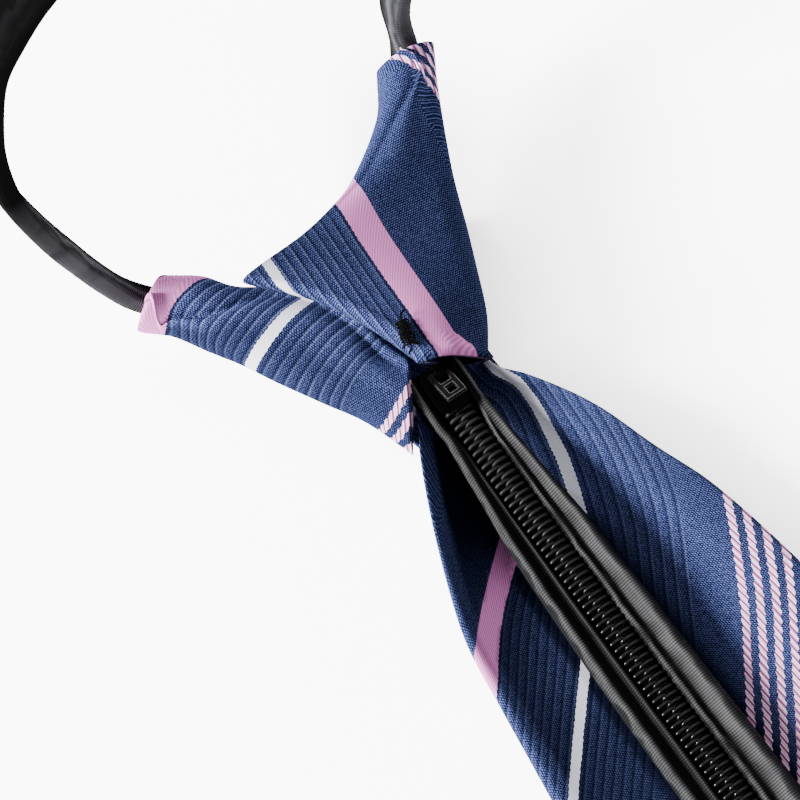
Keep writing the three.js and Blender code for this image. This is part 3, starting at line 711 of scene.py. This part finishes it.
def make_knot_front():
    outer, inner, stripe, along = [], [], [], []
    slant_across, slant_up = math.cos(STRIPE_SLANT), math.sin(STRIPE_SLANT)
    for up in np.linspace(-KNOT_FOOT / FRONT_HEIGHT, 1, FRONT_STEPS + 1):
        width, shift, curl = (column_at(FRONT_ROWS, up, c) for c in range(1, 4))
        across = np.linspace(-1, 1, FRONT_STEPS + 1)
        xs = shift * BLADE_SHIFT + across * width * FRONT_WIDTH / 2
        y = up * FRONT_HEIGHT
        rises = [trough_height(share, FRONT_FLAT_SHARE, curl * FRONT_CURL) for share in across]
        outer.append([(x, y, rise + CLOTH_WALL) for x, rise in zip(xs, rises)])
        inner.append([(x, y, rise) for x, rise in zip(xs, rises)])
        stripe.append(STRIPE_START - (xs * slant_across + y * slant_up))
        along.append(y * slant_across - xs * slant_up)
    grids = [np.array(rows) for rows in (outer, inner, stripe, along)]
    piece = cloth_piece("knot_front_cloth", *grids[:2], False, *grids[2:], fabric)
    face_outward(piece)
    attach(piece, "tie")
    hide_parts("knot_front")


# The wings: the same rows as the CAD's
# innerX, innerY, innerZ, innerRoll, outerX, outerY, outerZ, outerRoll
RIGHT_WING = [
    (-0.005, 0, 0.85, 0.1, 0.185, -0.09, 0.59, 0.135),
    (-0.05, 0.165, 0.9, 0.08, 0.245, 0.035, 0.565, 0.235),
    (-0.12, 0.37, 0.91, 0.075, 0.3, 0.215, 0.565, 0.24),
    (-0.245, 0.575, 0.93, 0.07, 0.35, 0.38, 0.575, 0.24),
    (-0.07, 0.6, 0.9, 0.08, 0.39, 0.525, 0.6, 0.235),
    (0.085, 0.65, 0.86, 0.11, 0.425, 0.64, 0.64, 0.237),
    (0.215, 0.76, 0.82, 0.15, 0.465, 0.765, 0.69, 0.227),
    (0.32, 0.885, 0.78, 0.2, 0.505, 0.88, 0.735, 0.217),
    (0.375, 1.005, 0.76, 0.21, 0.547, 0.98, 0.765, 0.212),
]
LEFT_WING = [
    (0, 0.045, 0.65, 0.08, -0.13, -0.225, 0.52, 0.14),
    (-0.015, 0.13, 0.64, 0.08, -0.175, -0.03, 0.52, 0.232),
    (-0.03, 0.25, 0.665, 0.075, -0.235, 0.12, 0.53, 0.237),
    (-0.075, 0.42, 0.67, 0.075, -0.295, 0.265, 0.55, 0.242),
    (-0.155, 0.53, 0.69, 0.08, -0.345, 0.395, 0.58, 0.237),
    (-0.25, 0.61, 0.73, 0.14, -0.4, 0.5, 0.63, 0.227),
    (-0.303, 0.7, 0.755, 0.195, -0.455, 0.6, 0.7, 0.222),
    (-0.38, 0.78, 0.76, 0.223, -0.507, 0.655, 0.75, 0.228),
]


def wing_at(rows, along):
    numbered = [(i / (len(rows) - 1), *row) for i, row in enumerate(rows)]
    ix, iy, iz, ir, ox, oy, oz, orr = (column_at(numbered, along, c) for c in range(1, 9))
    inner = np.array([ix * KNOT_WIDTH, iy * KNOT_HEIGHT, 0.0])
    outer = np.array([ox * KNOT_WIDTH, oy * KNOT_HEIGHT, 0.0])
    across = (outer - inner) / np.linalg.norm(outer - inner)
    inner_roll, outer_roll = ir * KNOT_DEPTH, orr * KNOT_DEPTH
    inner = inner + across * inner_roll
    outer = outer - across * outer_roll
    inner[2], outer[2] = iz * KNOT_DEPTH, oz * KNOT_DEPTH
    return inner, outer, across, inner_roll, outer_roll


# Points round each rolled edge and along each face, and rows that close the pinch and the tip
ARC, SIDE = 12, 18
WING_STEPS = 84
LIP, TIP_LIP = 8, 6
LIP_DEPTH, TIP_DEPTH = 1.3, 1.1
TIP_FLATTENED = 0.62
WING_GATHER, GATHER_POINTS = 0.1, 17
WING_LUMP, LUMP_SIZE = 0.2, 4.5


def wing_section(rows, along, inset):
    inner, outer, across, inner_roll, outer_roll = wing_at(rows, along)
    span = outer - inner
    slope = math.atan2(span[2], math.hypot(span[0], span[1]))

    def roll(middle, radius, start):
        made = []
        for i in range(ARC + 1):
            turn = slope + start + math.pi * i / ARC
            point = middle + across * (radius - inset) * math.cos(turn)
            point[2] = middle[2] + (radius - inset) * math.sin(turn)
            made.append(point)
        return made

    def bridge(start, end, crown):
        made = []
        for i in range(1, SIDE):
            point = start + (end - start) * i / SIDE
            point[2] += crown * math.sin(math.pi * i / SIDE)
            made.append(point)
        return made

    outer_arc = roll(outer, outer_roll, -math.pi / 2)
    inner_arc = roll(inner, inner_roll, math.pi / 2)
    top = bridge(outer_arc[-1], inner_arc[0], WING_CROWN)
    foot = bridge(inner_arc[-1], outer_arc[0], 0)
    return np.array([*outer_arc, *top, *inner_arc, *foot])


def left_pattern(x, y):
    """The stripe coordinate on the left wing, with lines across it that turn towards the pinch."""
    rows = [(-29.5, 4.5), (-16.0, 19.2), (0.0, 31.5), (8.0, 38.2), (16.0, 45.0)]
    turn = 0.38 * (1 - smoothstep(y, 0, 14))
    tilt = (0.284 - 0.0115 * max(y - 16, 0)) * smoothstep(y, 3, 13)
    level = y - tilt * (x + 14) + 1.8 * smoothstep(-x, 22, 30)
    if level > 29.5:
        return 4.5 - 1.0 * (level - 29.5)
    return column_at(rows, -level, 1) + turn * (x + 18)


def right_pattern(x, y):
    """The stripe coordinate on the right wing, with lines along the neck that close at the pinch."""
    corner = (x - 26.3) + 0.75 * (y - 40.7)
    past = max(min(x - 5.4 - 0.05 * (y - 14), 18.4), 19.9 + corner)
    over_edge = y - (1.4 - 0.51 * x)
    flare = 3.4 * (1 - (x - 4) / 6)
    if past > 0 and flare > 0.1:
        past *= 1 - 0.85 * (1 - smoothstep(over_edge, 0.7 * flare, flare))
    return 2.25 - (0.9 if past > 0 else 1.05) * past


def wing_heading(rows, end, before):
    """The direction in which the wing's tube leaves one of its ends."""
    heading = wing_section(rows, end, 0).mean(axis=0) - wing_section(rows, before, 0).mean(axis=0)
    return heading / np.linalg.norm(heading)


def make_wing(name, node, rows, pattern, line_way, side_shade, tilt, seed):
    """A wing's tube, with painted shade where it faces away to the right and a painted gradient of light and
    shade across its width.
    """
    outer, inner, stripe, along = [], [], [], []
    pinch_heading = wing_heading(rows, 0, 0.04)
    tip_heading = wing_heading(rows, 1, 0.96)
    for i in range(-LIP, WING_STEPS + TIP_LIP + 1):
        share = min(max(i, 0) / WING_STEPS, 1)
        low, high, way, *_ = wing_at(rows, share)
        out = wing_section(rows, share, 0)
        inn = wing_section(rows, share, CLOTH_WALL)
        for line in (out, inn):
            if i > WING_STEPS:
                closed = (i - WING_STEPS) / TIP_LIP * math.pi / 2
                level = line[:, 2].mean()
                line[:, 2] = level + (line[:, 2] - level) * (1 - TIP_FLATTENED * (1 - math.cos(closed)))
                line += tip_heading * TIP_DEPTH * math.sin(closed)
            if i < 0:
                closed = -i / LIP * math.pi / 2
                reach = (line - low) @ (high - low) / ((high - low) @ (high - low))
                level = low[2] + (high[2] - low[2]) * np.clip(reach, 0, 1)
                line[:, 2] = level + (line[:, 2] - level) * max(math.cos(closed), 0.12)
                line += pinch_heading * LIP_DEPTH * math.sin(closed)
        steps = np.linalg.norm(np.diff(out, axis=0), axis=1)
        arc = np.concatenate([[0], np.cumsum(steps)])
        middle = ARC + SIDE // 2
        plan = out[middle][None, :] + (arc[middle] - arc)[:, None] * way[None, :]
        outer.append(out)
        inner.append(inn)
        stripe.append([pattern(p[0], p[1]) for p in plan])
        along.append([p[0] * line_way[0] + p[1] * line_way[1] for p in plan])

    outer, inner, stripe = np.array(outer), np.array(inner), np.array(stripe)
    shade = np.ones(stripe.shape)
    for i in range(len(outer)):
        share = min(max(i - LIP, 0) / WING_STEPS, 1)
        low, high, *_ = wing_at(rows, share)
        rise = (high - low) / ((high - low) @ (high - low))
        for k in range(stripe.shape[1]):
            x, y, _ = outer[i, k]
            fold = WING_GATHER * math.exp(-share * 5) * math.sin(k * TURN / GATHER_POINTS + seed)
            lump = WING_LUMP * ripple(x / LUMP_SIZE, y / LUMP_SIZE, seed) * min(1, share * 4)
            outward = outer[i, k] - inner[i, k]
            outward /= max(np.linalg.norm(outward), 1e-6)
            over = np.clip((outer[i, k] - low) @ rise, 0, 1)
            away = smoothstep(Vector(outward).dot(RIGHT), 0.1, 0.7)
            # Painted shade where the cloth faces away to the right, and a painted gradient of light and shade
            # across the wing
            shade[i, k] = 1 - side_shade * away + tilt * (0.36 - over)
            outer[i, k] += outward * (fold + lump)
            inner[i, k] += outward * (fold + lump)
    # Painted shade on the pink end: its tone is held at 0.85 or darker
    shade = np.where(stripe < PINK_END, np.minimum(shade, 0.85), shade)
    piece = cloth_piece(name, outer, inner, True, stripe, np.array(along), fabric, shade)
    face_outward(piece)

    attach(piece, "tie")
    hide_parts(node)


# The neck band
POCKET_PLACES = [0.12, 0.3, 0.55, 0.8, 1]
POCKET_SHIFT = 0.35
TIP_SHIFT = 0.3
LOOP_ROWS = [
    (-0.672, 0.69, 0.118),
    (-0.74, 0.737, 0.152),
    (-0.81, 0.77, 0.204),
    (-0.89, 0.79, 0.275),
    (-0.96, 0.8, 0.355),
    (-1.0, 0.784, 0.45),
    (-1.0, 0.73, 0.576),
    (-0.95, 0.667, 0.69),
    (-0.86, 0.58, 0.79),
    (-0.7, 0.49, 0.88),
    (-0.46, 0.41, 0.955),
    (-0.15, 0.37, 1.0),
    (0.17, 0.37, 1.0),
    (0.48, 0.41, 0.952),
    (0.72, 0.5, 0.87),
    (0.88, 0.6, 0.76),
    (0.96, 0.7, 0.64),
    (0.97, 0.8, 0.51),
    (0.9, 0.9, 0.39),
    (0.79, 0.97, 0.285),
    (0.7, 1.0, 0.205),
    (0.67, 0.985, 0.155),
    (0.664, 0.925, 0.115),
]


def catmull(points, place):
    """A centripetal Catmull-Rom curve through the points at a place of 0 to their count less one."""
    i = min(int(place), len(points) - 2)
    w = place - i
    p1, p2 = points[i], points[i + 1]
    p0 = points[i - 1] if i > 0 else 2 * p1 - p2
    p3 = points[i + 2] if i + 2 < len(points) else 2 * p2 - p1
    d0, d1, d2 = (max(np.linalg.norm(b - a), 0) ** 0.5 for a, b in ((p0, p1), (p1, p2), (p2, p3)))
    d1 = d1 if d1 > 1e-4 else 1.0
    d0 = d0 if d0 > 1e-4 else d1
    d2 = d2 if d2 > 1e-4 else d1
    t1 = ((p1 - p0) / d0 - (p2 - p0) / (d0 + d1) + (p2 - p1) / d1) * d1
    t2 = ((p2 - p1) / d1 - (p3 - p1) / (d1 + d2) + (p3 - p2) / d2) * d1
    return p1 + t1 * w + (-3 * p1 + 3 * p2 - 2 * t1 - t2) * w**2 + (2 * p1 - 2 * p2 + t1 + t2) * w**3


def band_frames(step):
    """Points along the band's way with the directions of its width and thickness, and the length so far."""

    def pocket(rows, along):
        inner, outer, *_ = wing_at(rows, along)
        inward = POCKET_SHIFT * (1 - along) ** 2 if along < 1 else TIP_SHIFT
        return outer + (inner - outer) * inward

    def over(rows, along):
        inner, outer, *_ = wing_at(rows, along)
        return (inner - outer) / np.linalg.norm(inner - outer)

    axis = np.array([0.0, 1.0, 0.0])
    left = [pocket(LEFT_WING, a) for a in POCKET_PLACES]
    right = [pocket(RIGHT_WING, a) for a in reversed(POCKET_PLACES)]
    loop = [np.array([x * LOOP_WIDTH / 2, y * LOOP_DEPTH, z * LOOP_HEIGHT]) for x, y, z in LOOP_ROWS]
    points = [*left, *loop, *right]
    wide_left = [over(LEFT_WING, a) if a < 1 else axis for a in POCKET_PLACES]
    wide_right = [over(RIGHT_WING, a) if a < 1 else axis for a in reversed(POCKET_PLACES)]
    wides = [*wide_left, *[axis] * len(loop), *wide_right]
    places = np.linspace(0, len(points) - 1, 60 * (len(points) - 1) + 1)
    dense = np.array([catmull(points, p) for p in places])
    lengths = np.concatenate([[0], np.cumsum(np.linalg.norm(np.diff(dense, axis=0), axis=1))])
    total = lengths[-1]
    marks = np.linspace(0, total, max(2, round(total / step)) + 1)
    at = np.interp(marks, lengths, places)
    made = []
    for mark, place in zip(marks, at):
        before = catmull(points, max(place - 0.02, 0))
        after = catmull(points, min(place + 0.02, len(points) - 1))
        tangent = (after - before) / np.linalg.norm(after - before)
        wide = catmull(wides, place)
        wide = wide - tangent * wide.dot(tangent)
        wide /= np.linalg.norm(wide)
        thin = np.cross(tangent, wide)
        made.append((catmull(points, place), tangent, wide, thin, mark, mark / total))
    return made


BAND_POINTS = 28
BAND_ROUND = 0.6
BAND_STEP = 1.6
BAND_MIDDLE = 5
# depth, place, breadth
BAND_CREASES = [(0.28, 0.12, 0.004), (0.2, -0.27, 0.003)]


def powered(value, power):
    """A value's power with its sign kept."""
    return math.copysign(abs(value) ** power, value)


def band_outline(width, thickness):
    """The folded strap's section, with a flat front, two lengthwise creases and rounded edges."""
    points = []
    for turn in TURN / BAND_POINTS * np.arange(BAND_POINTS):
        w = powered(math.cos(turn), BAND_ROUND) * width / 2
        t = powered(math.sin(turn), BAND_ROUND) * thickness / 2
        creases = sum(depth * math.exp(-((w / width - at) ** 2) / broad) for depth, at, broad in BAND_CREASES)
        points.append((w, t * (1 - creases)))
    return points


def make_neck_band():
    rings, marks = [], []
    for middle, _, wide, thin, mark, share in band_frames(BAND_STEP):
        free = smoothstep(min(share, 1 - share), BAND_TUCK_SHARE, BAND_FREE_SHARE)
        width = BAND_TUCKED + (BAND_WIDTH - BAND_TUCKED) * free
        sway = 0.18 * free * math.sin(mark / 9) + 0.12 * free * math.sin(mark / 4.1 + 1)
        swell = 1 + 0.04 * free * math.sin(mark / 13 + 2)
        outline = band_outline(width, BAND_THICKNESS)
        rings.append([middle + wide * (w * swell + sway) + thin * t for w, t in outline])
        marks.append(mark)
    across = [w + BAND_MIDDLE for w, _ in band_outline(BAND_WIDTH, BAND_THICKNESS)]
    piece = tube_piece("neck_band_strap", np.array(rings), strap, np.array(marks), np.array(across))
    face_outward(piece)
    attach(piece, "tie")
    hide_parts("neck_band")


LOOP_ROUND = 0.7
LOOP_LEAN = 0.16


def loop_points(middle, long_way, thin_way, forward, half_long, half_thin, wire, sides, steps):
    """Points and faces of one nylon loop, a thin ring of a stadium's shape."""
    points, faces = [], []
    for i in range(steps):
        turn = TURN * i / steps
        c, s = math.cos(turn), math.sin(turn)
        centre = (
            middle
            + long_way * (powered(c, LOOP_ROUND) * half_long)
            + thin_way * (powered(s, LOOP_ROUND) * half_thin)
            - forward * (LOOP_LEAN * s)
        )
        outward = long_way * c * 0.6 + thin_way * s
        outward = outward / np.linalg.norm(outward)
        for k in range(sides):
            around = TURN * k / sides
            points.append(centre + outward * (wire * math.cos(around)) + forward * (wire * math.sin(around)))
    for i in range(steps):
        j = (i + 1) % steps
        for k in range(sides):
            n = (k + 1) % sides
            faces.append((i * sides + k, i * sides + n, j * sides + n, j * sides + k))
    return points, faces


def join_loops(name, loops, material):
    points, faces = [], []
    for some_points, some_faces in loops:
        base = len(points)
        points += some_points
        faces += [tuple(base + v for v in face) for face in some_faces]
    piece = mesh_object(name, points, faces, material)
    face_outward(piece)
    return piece


TEETH_START_SHARE = 1.35 * BAND_TUCK_SHARE
TEETH_HALF, TEETH_WIRE, TEETH_SUNK = 0.75, 0.26, 0.1


def make_loop_teeth():
    """The row of the open zipper's turns along the band's inner edge."""
    loops = []
    for middle, tangent, wide, thin, _, share in band_frames(COIL_PITCH):
        if min(share, 1 - share) >= TEETH_START_SHARE:
            place = middle + wide * (BAND_WIDTH / 2 - TEETH_SUNK)
            loops.append(loop_points(place, wide, thin, tangent, TEETH_HALF, TEETH_HALF, TEETH_WIRE, 5, 10))
    piece = join_loops("loop_teeth", loops, nylon)
    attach(piece, "tie")


# The zipper
# down, height, reach
ZIPPER_ROWS = [
    (0, 1, 0.42),
    (0.045, 0.85, 0.58),
    (0.095, 0.73, 0.7),
    (0.17, 0.62, 0.86),
    (0.3, 0.5, 0.95),
    (0.5, 0.41, 1),
    (1, 0.36, 1),
]


def zipper_at(y):
    down = (-y - SIDE_TOP) / ZIPPER_LENGTH
    return column_at(ZIPPER_ROWS, down, 1) * ZIPPER_HEIGHT, column_at(ZIPPER_ROWS, down, 2)


# The tape's upper surface from the coil to its outer edge
# share of the width, rise in millimetres
TAPE_ROWS = [
    (0, 0.2),
    (0.07, 1.1),
    (0.15, 1.15),
    (0.28, 0.35),
    (0.45, 0.75),
    (0.7, 1.7),
    (0.86, 1.4),
    (1, -0.2),
]
TAPE_COLUMNS = 26
TAPE_BELLY = 1.35
TAPE_WAVE = 0.1
# The tape's own width in the places of its painted sheen
SHEEN_ACROSS_WIDTH = 8


def make_tape(name, node, side, width, finish):
    places = np.arange(0, ZIPPER_LENGTH + 0.01, 1.0)
    slider_end = SLIDER_TOP + SLIDER_LENGTH + CLEARANCE
    out = [column / TAPE_COLUMNS for column in range(TAPE_COLUMNS + 1)]
    back = out[-2:0:-1]
    rings = []
    for place in places:
        y = -SIDE_TOP - place
        height, reach = zipper_at(y)
        past = smoothstep(-y, slider_end, slider_end + SLIDER_WIDTH)
        near = SLIDER_WIDTH / 2 + CLEARANCE
        near += (COIL_WIDTH / 2 + CLEARANCE - near) * past
        far = max(near + SIDE_THICKNESS / 2, reach * width)
        ease = smoothstep(far - near, 1.5, 4)
        rises = []
        for share in out:
            plain = 1.4 * math.sin(math.pi * (0.05 + 0.9 * share))
            rise = column_at(TAPE_ROWS, share, 1) * ease + plain * (1 - ease)
            rises.append(rise + TAPE_WAVE * ripple(share * 3, place / 9, 3 + side))
        rises += [-TAPE_BELLY * math.sin(math.pi * share) ** 0.5 for share in back]
        reaches = [near + (far - near) * share for share in out + back]
        rings.append([(ZIPPER_AXIS + side * x, y, height + z) for x, z in zip(reaches, rises)])
    across = [share * SHEEN_ACROSS_WIDTH for share in out + back]
    piece = tube_piece(name, np.array(rings), finish, np.array(places), np.array(across))
    face_outward(piece)
    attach(piece, "tie")
    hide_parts(node)


# Half length and half height of a turn of the coil, its wire's radius, and each row's first turn
TURN_LENGTH, TURN_HEIGHT, TURN_WIRE = 1.3, 0.8, 0.32
FIRST_TURNS = {-1: 0.1, 1: 0.5}


def make_coil():
    start = SLIDER_TOP + NECK_LENGTH + SLIDER_WIDTH / 2 + CLEARANCE
    end = SIDE_TOP + ZIPPER_LENGTH - STOP_LENGTH - 2 * CLEARANCE
    loops = []
    across, up = np.array([1.0, 0, 0]), np.array([0, 0, 1.0])
    for side, first in FIRST_TURNS.items():
        place = start + COIL_PITCH * first
        while place < end:
            height, _ = zipper_at(-place)
            drop = zipper_at(-place - 1)[0] - height
            forward = np.array([0, -1, drop])
            forward /= np.linalg.norm(forward)
            middle = np.array([ZIPPER_AXIS + side * (COIL_WIDTH / 2 - TURN_LENGTH), -place, height])
            loops.append(
                loop_points(middle, across * side, up, forward, TURN_LENGTH, TURN_HEIGHT, TURN_WIRE, 6, 12)
            )
            place += COIL_PITCH
    piece = join_loops("coil_loops", loops, nylon)
    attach(piece, "tie")
    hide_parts("zipper_coil")


def make_coil_core():
    """The tape's edge and cord that the loops are sewn to, seen between them."""
    start, end = 1.0, SIDE_TOP + ZIPPER_LENGTH - STOP_LENGTH - CLEARANCE
    head_end = SLIDER_TOP + SLIDER_LENGTH + 1.5
    rings = []
    places = [*np.arange(start, head_end, 0.75), *np.arange(head_end, end, 2.0)]
    for place in places:
        height, _ = zipper_at(-max(place, SIDE_TOP))
        head = 1 - smoothstep(place, head_end - 2.5, head_end)
        wide, drop = 3.0 + 1.6 * head, 1.7 * head
        profile = [(wide, -1.3), (wide, -0.9), (0.5, -0.5), (-0.5, -0.5), (-wide, -0.9), (-wide, -1.3)]
        rings.append([(ZIPPER_AXIS + x, -place, height + z - drop) for x, z in profile])
    across = [x for x, _ in profile]
    piece = tube_piece("coil_core", np.array(rings), plain_tape, np.array(places), np.array(across))
    face_outward(piece)
    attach(piece, "tie")


TACK_TURNS, TACK_PITCH, TACK_DEPTH = 15, 0.28, 0.75
THREAD_RADIUS = 0.15


def make_tack():
    """The bar tack, a packed row of thread turns with two short ends."""
    inner, _, across, inner_roll, _ = wing_at(RIGHT_WING, 0.06)
    middle = inner.copy()
    middle[2] += inner_roll + CLEARANCE + 0.4
    long_way = np.array([-across[1], across[0], 0])
    up = np.array([0, 0, 1.0])
    paths = []
    for i in range(TACK_TURNS):
        shift = (i - TACK_TURNS // 2) * TACK_PITCH
        tilt = random.uniform(-0.25, 0.25)
        reach = 0.85 + random.uniform(-0.12, 0.2)
        start = middle + long_way * (shift - tilt) - across * reach - up * TACK_DEPTH
        over = middle + long_way * shift + up * (0.22 + random.uniform(-0.06, 0.08))
        end = middle + long_way * (shift + tilt) + across * reach - up * TACK_DEPTH
        lift = up * TACK_DEPTH
        turned_in = across * THREAD_RADIUS
        paths.append([start, start + lift + turned_in, over, end + lift - turned_in, end])
    for way in (-1, 1):
        root = middle + long_way * 1.9 * way
        raised = root + long_way * 0.9 * way + up * 0.5
        paths.append([root, raised, root + (long_way * 1.6 + across * 0.7) * way + up * 0.2])
    points, faces, along = [], [], []
    steps, sides = 14, 6
    for path in paths:
        base = len(points)
        for j in range(steps + 1):
            place = (len(path) - 1) * j / steps
            here = catmull(path, place)
            ahead = catmull(path, min(place + 0.05, len(path) - 1)) - catmull(path, max(place - 0.05, 0))
            ahead /= np.linalg.norm(ahead)
            side = np.cross(ahead, up)
            side /= max(np.linalg.norm(side), 1e-6)
            rise = np.cross(side, ahead)
            for k in range(sides):
                turn = TURN * k / sides
                points.append(here + (side * math.cos(turn) + rise * math.sin(turn)) * THREAD_RADIUS)
                along.append(j * 0.2)
        for j in range(steps):
            for k in range(sides):
                n = (k + 1) % sides
                a, b = base + j * sides, base + (j + 1) * sides
                faces.append((a + k, a + n, b + n, b + k))
        faces.append(tuple(base + k for k in reversed(range(sides))))
        faces.append(tuple(base + steps * sides + k for k in range(sides)))
    piece = mesh_object("tack_threads", points, faces, thread, {"along": along})
    face_outward(piece)
    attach(piece, "tie")
    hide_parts("knot_stitch")


make_blade()
make_knot_front()
make_wing("knot_wing_left_cloth", "knot_wing_left", LEFT_WING, left_pattern, (0.94, 0.34), 0.0, 0.8, 2)
make_wing("knot_wing_right_cloth", "knot_wing_right", RIGHT_WING, right_pattern, (0.05, 1.0), 0.5, 0.0, 5)
make_neck_band()
make_loop_teeth()
make_tape("zipper_tape_left", "zipper_side_left", -1, LEFT_SIDE_WIDTH, left_tape)
make_tape("zipper_tape_right", "zipper_side_right", 1, RIGHT_SIDE_WIDTH, right_tape)
make_coil()
make_coil_core()
make_tack()

for node_name, finish, width in (
    ("slider", metal, 0.00018),
    ("pull_tab", glossy_metal, 0.00016),
    ("bottom_stop", nylon, 0.0003),
):
    carried = bpy.data.objects[node_name]
    carried.data.materials.clear()
    carried.data.materials.append(finish)
    bevel = carried.modifiers.new("worn_edges", "BEVEL")
    bevel.width = width
    bevel.segments = 3
    bevel.limit_method = "ANGLE"

# The floor: white paper, greyer in a painted soft shadow to the right of the tie
FLOOR_GLOW = 6.0
# slant, start in millimetres, share
SHADE_EDGES = ((0.17, 5.3, 1.0), (1.5, 7.0, 0.6))
SHADE_ALONG = [(0.2, 0.0), (0.38, 1.0), (0.71, 1.0), (0.81, 0.0)]
SHADE_ACROSS = [(0.0, 0.0), (0.2, 1.0), (0.35, 0.75), (0.55, 0.3), (1.0, 0.0)]
SHADE_REACH = 0.034
SHADE_DEPTH = 0.86
floor_net = Net("floor_paper")
floor_x, floor_y = floor_net.coordinate("X"), floor_net.coordinate("Y")
to_right = floor_net.blend((floor_x, RIGHT.x), (floor_y, RIGHT.y))
to_top = floor_net.blend((floor_x, UP.x), (floor_y, UP.y))
past_edges = None
for slant, start, share in SHADE_EDGES:
    from_edge = floor_net.math("ADD", to_right, floor_net.math("MULTIPLY_ADD", to_top, slant, -start * MM))
    from_edge = floor_net.product(from_edge, share)
    past_edges = from_edge if past_edges is None else floor_net.math("MINIMUM", past_edges, from_edge)
# Painted shadow: the floor's glow is lowered along the tie's right edges
beside = floor_net.ramp(floor_net.math("MULTIPLY_ADD", to_top, 5.0, 0.5), SHADE_ALONG)
near = floor_net.ramp(floor_net.math("MULTIPLY_ADD", past_edges, 0.5 / SHADE_REACH, 0.2), SHADE_ACROSS)
floor_material = floor_net.finish(
    Base_Color=floor_net.ramp(floor_net.noise(40.0), [(0.0, (0.86, 0.86, 0.87)), (1.0, 0.9)]),
    Roughness=0.9,
    Emission_Color=(1, 1, 1, 1),
    Emission_Strength=floor_net.math(
        "MULTIPLY_ADD", floor_net.product(near, beside), -FLOOR_GLOW * SHADE_DEPTH, FLOOR_GLOW
    ),
)
FLOOR_HALF, FLOOR_DROP = 3000, 0.2
corners = ((-1, -1), (1, -1), (1, 1), (-1, 1))
floor = mesh_object(
    "floor",
    [(x * FLOOR_HALF, y * FLOOR_HALF, -FLOOR_DROP) for x, y in corners],
    [(0, 1, 2, 3)],
    floor_material,
)


# Camera, in the photograph's direction, with the pinch of the knot at its pixel
LENS, SENSOR, FRAME_PIXELS = 157, 36, 800
DISTANCE = 0.52
PINCH = Vector((0, 0, 0.023))
MIDDLE_RIGHT, MIDDLE_UP = 14, 53
pixels = LENS / SENSOR * FRAME_PIXELS
camera_data = bpy.data.cameras.new("camera")
camera_data.lens = LENS
camera_data.sensor_width = SENSOR
camera = bpy.data.objects.new("camera", camera_data)
bpy.context.scene.collection.objects.link(camera)
place = PINCH - DISTANCE * (LOOK + (MIDDLE_RIGHT / pixels) * RIGHT + (MIDDLE_UP / pixels) * UP)
turned = Matrix((RIGHT, UP, -LOOK)).transposed().to_4x4()
camera.matrix_world = Matrix.Translation(place) @ turned
bpy.context.scene.camera = camera

# Lights: a strong low one from the left, a soft one from above and a faint one from the right
# name, place from the middle, size in metres, power in watts
LIGHTS = (
    ("key", Vector((0, 0, 0.62)) - RIGHT * 0.93 - UP * 0.2, 0.35, 85),
    ("top", Vector((0, 0, 1.1)) + UP * 0.5, 1.0, 7),
    ("fill", Vector((0, 0, 0.7)) + RIGHT * 0.9, 0.8, 1),
)
MIDDLE = Vector((0.01, -0.02, 0.0))
for name, offset, size, power in LIGHTS:
    data = bpy.data.lights.new(name, "AREA")
    data.shape = "DISK"
    data.size = size
    data.energy = power
    lamp = bpy.data.objects.new(name, data)
    bpy.context.scene.collection.objects.link(lamp)
    lamp.location = MIDDLE + offset
    lamp.rotation_euler = (-offset).to_track_quat("-Z", "Y").to_euler()

world = bpy.data.worlds.new("studio")
world.use_nodes = True
background = world.node_tree.nodes["Background"]
background.inputs["Color"].default_value = (0.93, 0.95, 1.0, 1)
background.inputs["Strength"].default_value = 0.45
bpy.context.scene.world = world
